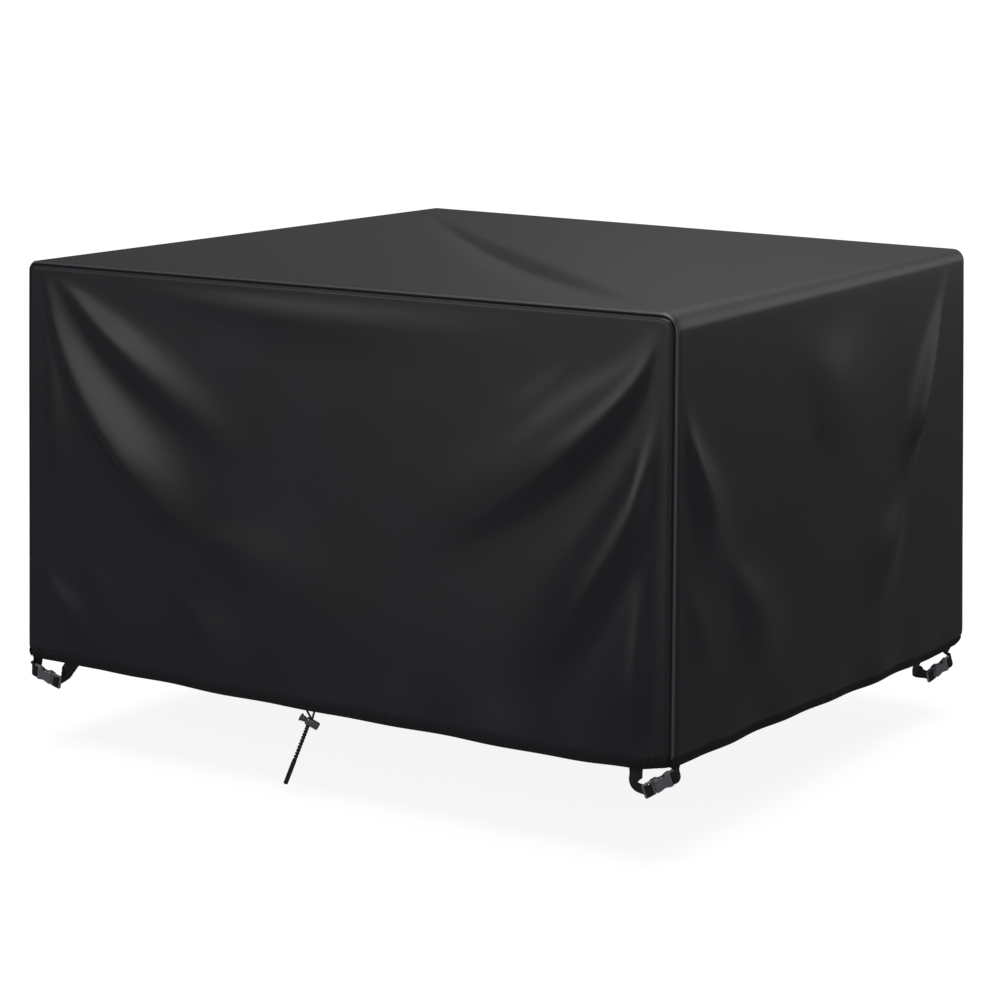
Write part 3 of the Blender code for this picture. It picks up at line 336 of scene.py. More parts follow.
def fold_relief(fold, across, down):
    """Height of one fold over its face: a crest with two unlike flanks, fading at its ends."""
    line = fold_line(fold)
    runs = line[1:] - line[:-1]
    place = np.stack((across, down), axis=-1)[:, None, :] - line[None, :-1, :]
    along = np.clip((place * runs).sum(-1) / (runs * runs).sum(-1), 0.0, 1.0)
    off = place - along[..., None] * runs
    away = np.hypot(off[..., 0], off[..., 1])
    nearest = away.argmin(axis=1)
    pick = np.arange(len(across))
    reach = (nearest + along[pick, nearest]) / len(runs)
    run = runs[nearest]
    turn = run[:, 1] * off[pick, nearest, 0] - run[:, 0] * off[pick, nearest, 1]
    rightward = 1.0 if fold.end[0] > fold.start[0] else -1.0
    flank = np.where(turn * rightward > 0, fold.upper, fold.lower)
    flank = flank * (FOLD_NARROW + (1 - FOLD_NARROW) * smooth(reach / FOLD_WIDE_AT))
    climb = FOLD_LOW + (1 - FOLD_LOW) * smooth(reach / fold.peak)
    fall = 1 - smooth((reach - fold.peak) / (1 - fold.peak))
    return fold.height * climb * fall * np.exp(-(away[pick, nearest] / flank) ** 2)


def face_relief(face, across, down):
    """All the folds on one face."""
    total = np.zeros_like(across)
    for fold in FOLDS:
        if fold.wall == face:
            total += fold_relief(fold, across, down)
    return total


def strap_calm(wall, across, rise):
    """0 beside a strap's seat on the hem, where the cloth lies flat, and 1 elsewhere."""
    calm = np.ones_like(across)
    for strap_set in STRAP_SETS:
        for seat in (strap_set.long_seat, strap_set.short_seat):
            if seat.wall == wall:
                beside = 1 - smooth((np.abs(across - seat.across) - WEB_WIDTH) / CALM_STRAP)
                low = 1 - smooth((rise - HEM_BAND) / CALM_STRAP)
                calm = calm * (1 - beside * low)
    return calm


def wall_relief(wall, across, down, width):
    """All the folds and the hem's waves on one wall, outwards, flat at its three seams."""
    rise = HEIGHT - down
    total = face_relief(wall, across, down)
    low = 1 - smooth(rise / HEM_WAVE_REACH)
    phase = list(WALL_ENDS).index(wall) * WAVE_STEP
    total += HEM_WAVE * low * (np.sin(across * SHORT_WAVE + phase)
                               + LONG_WAVE_SHARE * np.sin(across * LONG_WAVE - phase))
    nearest_side = np.minimum(across, width - across)
    free = smooth((nearest_side - FOLD_CALM) / FOLD_FREE) * smooth((down - FOLD_CALM) / FOLD_FREE)
    return total * free * strap_calm(wall, across, rise)


def top_relief(across, back):
    """The top's fold, flat near the top's four edges."""
    total = face_relief("top", across, back)
    nearest = np.minimum(np.minimum(across, TOP_LENGTH - across), np.minimum(back, TOP_DEPTH - back))
    return total * smooth((nearest - FOLD_CALM) / FOLD_FREE)


def hem_sag(wall, share):
    """How far the hem sags at a share of its way along the wall."""
    rows = [(0.0, 0.0)] + [(sag.share, sag.drop) for sag in HEM_SAGS if sag.wall == wall] + [(1.0, 0.0)]
    drop = np.zeros_like(share)
    for (left, low), (right, high) in zip(rows[:-1], rows[1:]):
        inside = (share >= left) & (share <= right)
        drop = np.where(inside, low + (high - low) * smooth((share - left) / (right - left)), drop)
    return drop


def settle_hem(points, rise, wall, share):
    """Sags the hem line, and tucks the hem in towards the middle of the cover."""
    low = np.clip(1 - rise / HEIGHT, 0.0, 1.0)
    points[..., 2] -= hem_sag(wall, share) * low ** 2
    front_left, front_right, back_right, back_left = (corner.tuck for corner in CORNERS)
    rightward = np.clip(points[..., 0] / TOP_LENGTH + 0.5, 0.0, 1.0)
    backward = np.clip(points[..., 1] / TOP_DEPTH + 0.5, 0.0, 1.0)
    front = front_left + (front_right - front_left) * rightward
    back = back_left + (back_right - back_left) * rightward
    tuck = (front + (back - front) * backward) / (TOP_LENGTH / 2)
    tuck *= np.clip(1 - rise / HEM_TUCK_REACH, 0.0, 1.0) ** 2
    points[..., 0] *= 1 - tuck
    points[..., 1] *= 1 - tuck
    return points


# ---- the front and back panels ----
def panel_width(wall):
    """A panel's width over the cloth, from seam to seam, along its top."""
    left, right = WALL_ENDS[wall]
    return np.linalg.norm(TOP[right] - TOP[left]) - 2 * edge_shift(EDGE_ROUND_TOP)


def panel_points(wall, across, down):
    """Outer face of a panel. across and down are measured over the cloth from its seams."""
    left, right = WALL_ENDS[wall]
    behind_left, behind_right = (BACK_LEFT, BACK_RIGHT) if wall == "front" else (FRONT_RIGHT, FRONT_LEFT)

    def sharp_edges(inset):
        """How far down a wall's level is, its two sharp edges there and the way between them."""
        level = inset / HEIGHT
        left_edge = mix(TOP[left], HEM[left], level)
        right_edge = mix(TOP[right], HEM[right], level)
        return level, left_edge, right_edge, np.linalg.norm(right_edge - left_edge, axis=-1)

    inset_top = edge_inset(down, EDGE_ROUND_TOP)
    level, _, _, long = sharp_edges(inset_top)
    radius = EDGE_ROUND_TOP + (EDGE_ROUND_HEM - EDGE_ROUND_TOP) * smooth(level)
    stretch = (long - 2 * edge_shift(radius)) / panel_width(wall)
    on_left = across < panel_width(wall) / 2
    from_seam = np.where(on_left, across, panel_width(wall) - across) * stretch
    inset_side = edge_inset(from_seam, radius)
    depth = edge_depth(inset_side, radius) + edge_depth(inset_top, EDGE_ROUND_TOP)

    bend = np.where(on_left, BEND[left], BEND[right])
    border = edge_inset(np.full_like(across, -SEAM_LAP), EDGE_ROUND_TOP)
    side = np.clip((bend - inset_side) / (bend - border), 0.0, 1.0)
    up = np.clip((bend - inset_top) / (bend - border), 0.0, 1.0)
    in_corner = (side > 0) & (up > 0)
    side_round = side * np.sqrt(1 - up * up / 2)
    up_round = up * np.sqrt(1 - side * side / 2)
    reach = bend - np.hypot(side_round, up_round) * (bend - border)
    inset_side = np.where(in_corner, bend - side_round * (bend - border), inset_side)
    inset_top = np.where(in_corner, bend - up_round * (bend - border), inset_top)
    depth = np.where(in_corner, edge_depth(reach, EDGE_ROUND_TOP), depth)

    level, left_edge, right_edge, long = sharp_edges(inset_top)
    share = np.where(on_left, inset_side, long - inset_side) / long
    inward = unit(mix(mix(TOP[behind_left] - TOP[left], HEM[behind_left] - HEM[left], level),
                      mix(TOP[behind_right] - TOP[right], HEM[behind_right] - HEM[right], level), share))
    relief = wall_relief(wall, across, down, panel_width(wall))
    beside_lip = np.minimum(from_seam / stretch, down)
    relief = relief - GROOVE_DEEP * np.exp(-((beside_lip - GROOVE_PLACE) / GROOVE_WIDE) ** 2)
    points = mix(left_edge, right_edge, share)
    points = points + inward * (depth - relief)[..., None]
    return settle_hem(points, HEIGHT - inset_top, wall, share)


# ---- the long cloth: left end, top and right end ----
def band_width():
    """The long cloth's width over the cloth, from its front edge to its back edge."""
    return TOP_DEPTH - 2 * edge_shift(EDGE_ROUND_TOP)


def lip_height(from_edge):
    """How far the lip stands off the seam's plane, nought past its foot."""
    return LIP_HEIGHT * (1 - smooth((from_edge - LIP_FLAT) / (LIP_FOOT - LIP_FLAT)))


def band_points(path, cross):
    """Outer face of the long cloth. cross is measured over the cloth from its front edge.

    path runs from 0 to 5: the left end from its hem up, the left bend, the top, the right
    bend, and the right end down to its hem, a whole number to each.
    """
    zone = np.clip(np.floor(path), 0, 4)
    part = path - zone
    on_left = path < 2.5
    climb = np.where(zone == 0, 1 - part, np.where(zone == 4, part, 0.0))
    radius = EDGE_ROUND_TOP + (EDGE_ROUND_HEM - EDGE_ROUND_TOP) * smooth(climb)
    on_front = cross < band_width() / 2
    from_edge = np.where(on_front, cross, band_width() - cross)

    def rail(points, front, back):
        """Places along one side of the top or of the hem, with their shares and depths."""
        long = np.linalg.norm(points[back] - points[front])
        stretch = (long - 2 * edge_shift(radius)) / band_width()
        inset = edge_inset(from_edge * stretch, radius)
        lean = ROOT_HALF * lip_height(from_edge)
        raised = inset - lean
        share = np.where(on_front, raised, long - raised) / long
        return mix(points[front], points[back], share), share, edge_depth(inset, radius) - lean

    top_left, share, depth = rail(TOP, FRONT_LEFT, BACK_LEFT)
    top_right, share_right, depth_right = rail(TOP, FRONT_RIGHT, BACK_RIGHT)
    hem_left = rail(HEM, FRONT_LEFT, BACK_LEFT)[0]
    hem_right = rail(HEM, FRONT_RIGHT, BACK_RIGHT)[0]
    share = np.where(on_left, share, share_right)
    depth = np.where(on_left, depth, depth_right)
    top = np.where(on_left[..., None], top_left, top_right)
    far_top = np.where(on_left[..., None], top_right, top_left)
    hem = np.where(on_left[..., None], hem_left, hem_right)
    left_bend = BEND[FRONT_LEFT] + (BEND[BACK_LEFT] - BEND[FRONT_LEFT]) * share
    right_bend = BEND[FRONT_RIGHT] + (BEND[BACK_RIGHT] - BEND[FRONT_RIGHT]) * share
    bend = np.where(on_left, left_bend, right_bend)
    other_bend = np.where(on_left, right_bend, left_bend)
    fall = np.linalg.norm(hem - top, axis=-1)
    run = np.linalg.norm(far_top - top, axis=-1)

    across_wall = np.where(on_left, band_width() - cross, cross)
    down_wall = bend + (fall - bend) * climb
    relief = np.where(on_left, wall_relief("left", across_wall, down_wall, band_width()),
                      wall_relief("right", across_wall, down_wall, band_width()))
    wall_down, wall_in = down_wall, depth - relief
    turned = np.where(zone == 1, part, 1 - part) * math.pi / 2
    bend_down = bend * (1 - np.sin(turned)) + depth * np.sin(turned)
    bend_in = bend * (1 - np.cos(turned)) + depth * np.cos(turned)
    along = bend + (run - bend - other_bend) * np.where(on_left, part, 1 - part)
    from_left = np.where(on_left, along, run - along)
    top_down = depth - top_relief(from_left, share * TOP_DEPTH)

    on_wall = (zone == 0) | (zone == 4)
    down = np.where(on_wall, wall_down, np.where(zone == 2, top_down, bend_down))
    inwards = np.where(on_wall, wall_in, np.where(zone == 2, along, bend_in))
    points = top + unit(hem - top) * down[..., None] + unit(far_top - top) * inwards[..., None]
    rise = np.where(on_wall, (1 - down_wall / fall) * HEIGHT, HEIGHT)
    left_wall = settle_hem(points.copy(), rise, "left", 1 - share)
    right_wall = settle_hem(points.copy(), rise, "right", share)
    return np.where(on_left[..., None], left_wall, right_wall)


def wall_point(wall, across, rise):
    """A point on the outer face of any wall, by its height above the hem."""
    across = np.atleast_1d(np.asarray(across, dtype=float))
    rise = np.full_like(across, rise)
    if wall in ("front", "back"):
        return panel_points(wall, across, HEIGHT - edge_shift(EDGE_ROUND_TOP) - rise)
    climb = 1 - rise / HEIGHT
    if wall == "right":
        return band_points(4 + climb, across)
    return band_points(1 - climb, band_width() - across)


def wall_frame(wall, across, rise):
    """Point, outward normal, direction along the hem and direction down, at one place."""
    step = 0.002
    point = wall_point(wall, across, rise)[0]
    ahead = wall_point(wall, across + step, rise)[0]
    above = wall_point(wall, across, rise + step)[0]
    along = unit(ahead - point)
    normal = unit(np.cross(along, unit(above - point)))
    return Vector(point), Vector(normal), Vector(along), Vector(unit(point - above))


# ---- camera and light: degrees and watts ----
CAMERA_PLACE = (2.58001, -3.93856, 0.48491)
CAMERA_TURN = 33.566
CAMERA_DIP = 11.339
CAMERA_LENS = 92.02
SENSOR_WIDE = 36.0
SEEN_TO = 60.0
CEILING_LIGHT = 3.4
CEILING_SPREAD = 55.0
SURROUND_LIGHT = 0.11
FLOOR_LEVEL = -0.892
FLOOR_GLOW = 0.90
BACKDROP_WHITE = 1.0

# The front softboxes draw the streaks on the front's folds, the side and right ones the seam and
# the right end's folds, and the back ones the sheen on the top. The floor's fill lights the hem.
Lamp = namedtuple("Lamp", "name place aim size watts")
LAMPS = (
    Lamp("front_softbox", (-1.3, -4.8, 1.2), (-0.1, -0.6, -0.4), (4.6, 1.9), 64.0),
    Lamp("low_front_softbox", (-1.3, -4.8, -0.2), (0.2, -0.6, -0.4), (2.6, 1.2), 7.0),
    Lamp("floor_fill", (-0.43, -2.15, -0.885), (-0.43, -2.15, 0.0), (0.9, 0.9), 1.3),
    Lamp("right_softbox", (2.9, 3.5, 1.1), (0.65, 0.0, -0.4), (3.6, 2.4), 27.0),
    Lamp("side_softbox", (4.2, -2.9, 0.25), (0.65, -0.58, -0.35), (1.4, 2.2), 20.0),
    Lamp("high_back_softbox", (-0.30, 3.80, 3.2), (0.0, 0.0, 0.0), (4.4, 2.8), 25.0),
    Lamp("low_back_softbox", (-2.0, 4.6, 1.8), (0.0, 0.0, 0.0), (5.0, 2.2), 1.3),
)


def place_in_scene(name, data):
    """A camera's or a light's object, linked into the scene."""
    placed = bpy.data.objects.new(name, data)
    bpy.context.scene.collection.objects.link(placed)
    return placed


def add_camera():
    turn, dip = math.radians(CAMERA_TURN), math.radians(CAMERA_DIP)
    back = Vector((math.sin(turn) * math.cos(dip), -math.cos(turn) * math.cos(dip), math.sin(dip)))
    right = Vector((math.cos(turn), math.sin(turn), 0.0))
    data = bpy.data.cameras.new("photo_camera")
    data.lens = CAMERA_LENS
    data.sensor_width = SENSOR_WIDE
    data.clip_end = SEEN_TO
    camera = place_in_scene("photo_camera", data)
    camera.matrix_world = Matrix((right, back.cross(right), back)).transposed().to_4x4()
    camera.matrix_world.translation = Vector(CAMERA_PLACE)
    bpy.context.scene.camera = camera


def add_lights():
    for lamp in LAMPS:
        data = bpy.data.lights.new(lamp.name, "AREA")
        data.shape = "RECTANGLE"
        data.size, data.size_y = lamp.size
        data.energy = lamp.watts
        light = place_in_scene(lamp.name, data)
        light.location = lamp.place
        light.visible_camera = False
        light.rotation_euler = (Vector(lamp.place) - Vector(lamp.aim)).to_track_quat("Z", "Y").to_euler()
    ceiling_data = bpy.data.lights.new("white_ceiling", "SUN")
    ceiling_data.energy = CEILING_LIGHT
    ceiling_data.angle = math.radians(CEILING_SPREAD)
    place_in_scene("white_ceiling", ceiling_data)
    world = bpy.data.worlds.new("studio")
    world.use_nodes = True
    surround = world.node_tree.nodes["Background"].inputs
    surround["Color"].default_value = WHITE
    surround["Strength"].default_value = SURROUND_LIGHT
    bpy.context.scene.world = world
    bpy.context.scene.view_settings.view_transform = "Standard"


def add_stage():
    """A pale floor, and a white wall far behind it that only the camera sees."""
    bpy.ops.mesh.primitive_plane_add(size=30.0, location=(0.0, 6.0, FLOOR_LEVEL))
    floor = bpy.context.object
    floor.name = "floor"
    floor.data.materials.append(floor_paint())
    floor.visible_glossy = False
    bpy.ops.mesh.primitive_cylinder_add(vertices=64, radius=14.0, depth=24.0, end_fill_type="NOTHING",
                                        location=(0.0, 0.0, 2.0))
    wall = bpy.context.object
    wall.name = "backdrop"
    wall.data.materials.append(backdrop_paper())
    wall.visible_diffuse = False
    wall.visible_glossy = False
    wall.visible_shadow = False
    wall.visible_transmission = False


# ---- materials ----
WHITE = (1.0, 1.0, 1.0, 1.0)
BLACK = (0.0, 0.0, 0.0, 1.0)
COATING_BLACK = "#101113"
COATING_WORN = "#15161a"
# A pale painted highlight along the lip's fold.
COATING_PAINTED_HIGHLIGHT = "#303134"
WEBBING_BLACK = "#0b0b0c"
# Grey painted highlight on the webbing's ribs.
WEBBING_GLINT_GREY = "#2b2b2e"
BUCKLE_GREY = "#46474b"
LOCK_GREY = "#39393b"
SLEEVE_BLACK = "#161618"
CORD_BLACK = "#101011"
# Grey painted highlight on the cord's plaits.
CORD_GLINT_GREY = "#242425"
FLOOR_GREY = "#606060"
# The cloth's real weave repeats about every 0.5 mm, too fine to show, so it is drawn coarser.
WEAVE_PITCH = 1.3 * MM
RIB_PITCH = 1.5 * MM
PICK_PITCH = 2.2 * MM
PLAIT_PITCH = 1.6 * MM
# Noise patterns, as so many marks to a metre of the real surface.
SHEEN_PATCHES = 5.0
COATING_GRAINS = 0.42 / MM
ACETAL_GRAINS = 2.6 / MM
NYLON_GRAINS = 1.8 / MM


def linear(hex_colour):
    """An sRGB hex colour as linear RGBA."""
    parts = [int(hex_colour[i:i + 2], 16) / 255 for i in (1, 3, 5)]
    return tuple(p / 12.92 if p <= 0.04045 else ((p + 0.055) / 1.055) ** 2.4 for p in parts) + (1.0,)


def new_material(name, **shader_settings):
    """A material, its tree and its shader, whose sockets are set by name."""
    made = bpy.data.materials.new(name)
    made.use_nodes = True
    shader = made.node_tree.nodes["Principled BSDF"]
    for socket, value in shader_settings.items():
        shader.inputs[socket.replace("_", " ")].default_value = value
    return made, made.node_tree, shader


def node(tree, kind, settings=None, values=None, links=None):
    """Adds one node, with its settings, its sockets' values and the links into it."""
    made = tree.nodes.new("ShaderNode" + kind)
    for name, value in (settings or {}).items():
        setattr(made, name, value)
    for name, value in (values or {}).items():
        made.inputs[name].default_value = value
    for name, source in (links or {}).items():
        tree.links.new(source, made.inputs[name])
    return made


def band_scale(pitch):
    """Scale of a Wave texture whose bands repeat every pitch metres."""
    return 2 * math.pi / (20 * pitch)


def floor_paint():
    """Matt translucent acrylic, lit from below, as a photographer's table is: next to no shadow."""
    return new_material("lit_acrylic_sheet", Base_Color=linear(FLOOR_GREY), Roughness=0.9,
                        Specular_IOR_Level=0.1, Emission_Color=WHITE, Emission_Strength=FLOOR_GLOW)[0]


def backdrop_paper():
    """Plain white paper, lit evenly, so that it shows as clear white."""
    return new_material("white_backdrop_paper", Base_Color=BLACK, Emission_Color=WHITE,
                        Emission_Strength=BACKDROP_WHITE)[0]


def coated_polyester():
    """Oxford polyester, woven and then coated: the coating fills the weave, so only a faint grain
    is left of it, and light slides off in a soft, slightly uneven sheen. Where it is pressed under
    stitches it is dull, and along the lip's fold a pale painted highlight is laid in its colour."""
    made, tree, shader = new_material("woven_coated_polyester", Specular_IOR_Level=0.42, Metallic=0.0)
    cloth = node(tree, "UVMap", {"uv_map": "cloth"}).outputs["UV"]
    warp = node(tree, "TexWave", {"bands_direction": "X", "wave_profile": "SIN"},
                {"Scale": band_scale(WEAVE_PITCH)}, {"Vector": cloth}).outputs["Fac"]
    weft = node(tree, "TexWave", {"bands_direction": "Y", "wave_profile": "SIN"},
                {"Scale": band_scale(WEAVE_PITCH)}, {"Vector": cloth}).outputs["Fac"]
    weave = node(tree, "Math", {"operation": "MULTIPLY"}, links={0: warp, 1: weft}).outputs[0]
    place = node(tree, "TexCoord").outputs["Object"]
    clouds = node(tree, "TexNoise", values={"Scale": SHEEN_PATCHES, "Detail": 4.0, "Roughness": 0.6},
                  links={"Vector": place}).outputs["Fac"]
    grain = node(tree, "TexNoise", values={"Scale": COATING_GRAINS, "Detail": 3.0},
                 links={"Vector": place}).outputs["Fac"]
    colour = node(tree, "MixRGB", values={"Color1": linear(COATING_BLACK), "Color2": linear(COATING_WORN)},
                  links={"Fac": clouds})
    # The lip's fold is painted paler: a painted highlight.
    painted_lip_highlight = node(tree, "Attribute", {"attribute_name": "painted_lip_highlight"}).outputs["Fac"]
    paler = node(tree, "MixRGB", values={"Color2": linear(COATING_PAINTED_HIGHLIGHT)},
                 links={"Fac": painted_lip_highlight, "Color1": colour.outputs[0]})
    tree.links.new(paler.outputs[0], shader.inputs["Base Color"])
    gloss = node(tree, "MapRange", values={"To Min": 0.33, "To Max": 0.43}, links={"Value": clouds})
    pressed = node(tree, "Attribute", {"attribute_name": "pressed"}).outputs["Fac"]
    dulled = node(tree, "MixRGB", values={"Color2": (0.75, 0.75, 0.75, 1.0)},
                  links={"Fac": pressed, "Color1": gloss.outputs[0]})
    tree.links.new(dulled.outputs[0], shader.inputs["Roughness"])
    sheen = node(tree, "MapRange", values={"To Min": 0.42, "To Max": 0.14}, links={"Value": pressed})
    tree.links.new(sheen.outputs[0], shader.inputs["Specular IOR Level"])
    fine = node(tree, "MixRGB", values={"Fac": 0.4}, links={"Color1": weave, "Color2": grain})
    bump = node(tree, "Bump", values={"Strength": 0.12, "Distance": 0.0002},
                links={"Height": fine.outputs[0]})
    tree.links.new(bump.outputs[0], shader.inputs["Normal"])
    return made


def webbing_weave():
    """Polypropylene webbing, woven flat in close ribs: dull, with a grey painted highlight on each rib."""
    made, tree, shader = new_material("woven_polypropylene_webbing", Roughness=0.62,
                                      Specular_IOR_Level=0.18)
    web = node(tree, "UVMap", {"uv_map": "cloth"}).outputs["UV"]
    ribs = node(tree, "TexWave", {"bands_direction": "X"}, {"Scale": band_scale(RIB_PITCH)},
                {"Vector": web}).outputs["Fac"]
    picks = node(tree, "TexWave", {"bands_direction": "Y"}, {"Scale": band_scale(PICK_PITCH)},
                 {"Vector": web}).outputs["Fac"]
    weave = node(tree, "Math", {"operation": "MULTIPLY"}, links={0: ribs, 1: picks}).outputs[0]
    # Each raised rib is painted grey: a painted highlight.
    colour = node(tree, "MixRGB", values={"Color1": linear(WEBBING_BLACK), "Color2": linear(WEBBING_GLINT_GREY)},
                  links={"Fac": weave})
    tree.links.new(colour.outputs[0], shader.inputs["Base Color"])
    bump = node(tree, "Bump", values={"Strength": 0.6, "Distance": 0.0003}, links={"Height": weave})
    tree.links.new(bump.outputs[0], shader.inputs["Normal"])
    return made


def moulded_acetal():
    """Acetal, injection moulded with a fine spark texture: dark, with a soft plastic gloss."""
    made, tree, shader = new_material("moulded_acetal", Base_Color=linear(BUCKLE_GREY), Roughness=0.36)
    place = node(tree, "TexCoord").outputs["Object"]
    spark = node(tree, "TexNoise", values={"Scale": ACETAL_GRAINS, "Detail": 2.0},
                 links={"Vector": place})
    bump = node(tree, "Bump", values={"Strength": 0.15, "Distance": 0.0001},
                links={"Height": spark.outputs["Fac"]})
    tree.links.new(bump.outputs[0], shader.inputs["Normal"])
    gloss = node(tree, "MapRange", values={"To Min": 0.30, "To Max": 0.44},
                 links={"Value": spark.outputs["Fac"]})
    tree.links.new(gloss.outputs[0], shader.inputs["Roughness"])
    return made


def moulded_nylon(name, colour, roughness):
    """Nylon, moulded smooth: it turns light along the line where it meets a lamp."""
    made, tree, shader = new_material(name, Base_Color=linear(colour), Roughness=roughness)
    place = node(tree, "TexCoord").outputs["Object"]
    spark = node(tree, "TexNoise", values={"Scale": NYLON_GRAINS, "Detail": 2.0},
                 links={"Vector": place})
    bump = node(tree, "Bump", values={"Strength": 0.12, "Distance": 0.0001},
                links={"Height": spark.outputs["Fac"]})
    tree.links.new(bump.outputs[0], shader.inputs["Normal"])
    return made


def braided_polyester():
    """Cord braided from fine yarns: small slanting plaits, each with a grey painted highlight on its
    raised part.
    """
    made, tree, shader = new_material("braided_polyester_cord", Roughness=0.6, Specular_IOR_Level=0.4)
    braid = node(tree, "UVMap", {"uv_map": "cloth"}).outputs["UV"]
    plaits = []
    for lean in (45.0, -45.0):
        turned = node(tree, "Mapping", values={"Rotation": (0.0, 0.0, math.radians(lean))},
                      links={"Vector": braid}).outputs[0]
        plaits.append(node(tree, "TexWave", {"bands_direction": "X"}, {"Scale": band_scale(PLAIT_PITCH)},
                           {"Vector": turned}).outputs["Fac"])
    plait = node(tree, "Math", {"operation": "MULTIPLY"}, links={0: plaits[0], 1: plaits[1]}).outputs[0]
    # Each raised plait is painted grey: a painted highlight.
    colour = node(tree, "MixRGB", values={"Color1": linear(CORD_BLACK), "Color2": linear(CORD_GLINT_GREY)},
                  links={"Fac": plait})
    tree.links.new(colour.outputs[0], shader.inputs["Base Color"])
    bump = node(tree, "Bump", values={"Strength": 0.7, "Distance": 0.0004}, links={"Height": plait})
    tree.links.new(bump.outputs[0], shader.inputs["Normal"])
    return made


# ---- making pieces ----
def stop_selecting():
    bpy.ops.object.select_all(action="DESELECT")


def select_only(piece):
    stop_selecting()
    piece.select_set(True)
    bpy.context.view_layer.objects.active = piece


def apply_modifiers(piece):
    select_only(piece)
    for modifier in list(piece.modifiers):
        bpy.ops.object.modifier_apply(modifier=modifier.name)
    stop_selecting()


def smooth_shading(piece, angle):
    select_only(piece)
    bpy.ops.object.shade_smooth_by_angle(angle=math.radians(angle))
    stop_selecting()


def round_edges(piece, radius, sharper_than):
    """A live bevel in two steps on every edge that turns by more than so many degrees."""
    bevel = piece.modifiers.new("rounded_edge", "BEVEL")
    bevel.width = radius
    bevel.segments = 2
    bevel.limit_method = "ANGLE"
    bevel.angle_limit = math.radians(sharper_than)


def finish_piece(piece, finish, body, cad_node):
    """Gives a piece its material and its body, and hides the solid that it stands for."""
    piece.data.materials.clear()
    piece.data.materials.append(finish)
    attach(piece, body)
    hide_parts(cad_node)
    return piece


def laid_sheet(name, columns, rows, place, cloth_place):
    """A grid with a line of points for each column and row. place() lays it in space, and
    cloth_place() gives each point its place on the flat cloth, kept as a UV map in metres."""
    stop_selecting()
    wide, high = len(columns) - 1, len(rows) - 1
    bpy.ops.mesh.primitive_grid_add(x_subdivisions=wide, y_subdivisions=high, size=2.0, calc_uvs=True)
    piece = bpy.context.object
    piece.name = name
    mesh = piece.data
    flat = np.empty(len(mesh.vertices) * 3)
    mesh.vertices.foreach_get("co", flat)
    flat = flat.reshape(-1, 3)
    column = np.asarray(columns)[np.rint((flat[:, 0] + 1) / 2 * wide).astype(int)]
    row = np.asarray(rows)[np.rint((flat[:, 1] + 1) / 2 * high).astype(int)]
    mesh.vertices.foreach_set("co", np.asarray(place(column, row)).ravel())
    corner_vertex = np.empty(len(mesh.loops), dtype=int)
    mesh.loops.foreach_get("vertex_index", corner_vertex)
    laid = np.stack(cloth_place(column, row), axis=-1)[corner_vertex]
    mesh.uv_layers[0].name = "cloth"
    mesh.uv_layers["cloth"].data.foreach_set("uv", laid.ravel())
    mesh.update()
    return piece


def thickened(piece, thickness, offset, edge=0.0):
    """Gives a laid sheet its thickness: inwards at offset -1, to both sides at 0."""
    solid = piece.modifiers.new("thickness", "SOLIDIFY")
    solid.thickness = thickness
    solid.offset = offset
    if edge:
        round_edges(piece, edge, 60)
    apply_modifiers(piece)
    return piece


def graded(*spans):
    """Places along a line. Each span is its end and its number of cells."""
    places = [spans[0]]
    for end, cells in spans[1:]:
        places += list(np.linspace(places[-1], end, cells + 1)[1:])
    return places


# ---- the cloth ----
def hump(distance, reach):
    """1 at no distance, fading evenly to nought past its reach."""
    return math.exp(-(distance / reach) ** 2)


def pucker(along):
    """Uneven waves along the hem, about 10 mm and 6 mm long, where the drawcord gathers it."""
    return math.sin(along * 610 + 1.9 * math.sin(along * 47)) + 0.6 * math.sin(along * 1130 + 2.0)


def sewn_edges(piece, rise_of, seam_of):
    """Sews a laid sheet's hem and marks its sewn strips.

    The hem's casing gets a stitched groove above it and small puckers. The marks are pressed, for
    cloth held flat under stitches, and a pale painted highlight along the lip's fold.
    """
    fine = bmesh.new()
    fine.from_mesh(piece.data)
    cloth = fine.loops.layers.uv["cloth"]
    low = [face for face in fine.faces
           if max(rise_of(*loop[cloth].uv)[0] for loop in face.loops) < CASING_REACH]
    edges = list({edge for face in low for edge in face.edges})
    bmesh.ops.subdivide_edges(fine, edges=edges, cuts=2, use_grid_fill=True)
    fine.normal_update()
    pressed = fine.verts.layers.float.new("pressed")
    painted_lip_highlight = fine.verts.layers.float.new("painted_lip_highlight")
    for vert in fine.verts:
        place = vert.link_loops[0][cloth].uv
        rise, along = rise_of(*place)
        vert[pressed], vert[painted_lip_highlight] = seam_of(*place)
        if rise < CASING_REACH + GATHER_WIDE:
            full = math.sin(math.pi * min(max(rise / CASING, 0.0), 1.0))
            stitched = STITCH_DEEP * hump(rise - CASING, STITCH_WIDE)
            gathered = GATHER_DEEP * pucker(along) * hump(rise - GATHER_PLACE, GATHER_WIDE)
            vert.co += vert.normal * (CASING_FULL * full - stitched + gathered)
            under_stitch = float(smooth((CASING - rise) / PRESSED_FADE + 0.5))
            vert[pressed] = max(vert[pressed], under_stitch)
            # No painted highlight under the hem's stitches.
            vert[painted_lip_highlight] *= 1 - under_stitch
    fine.to_mesh(piece.data)
    fine.free()


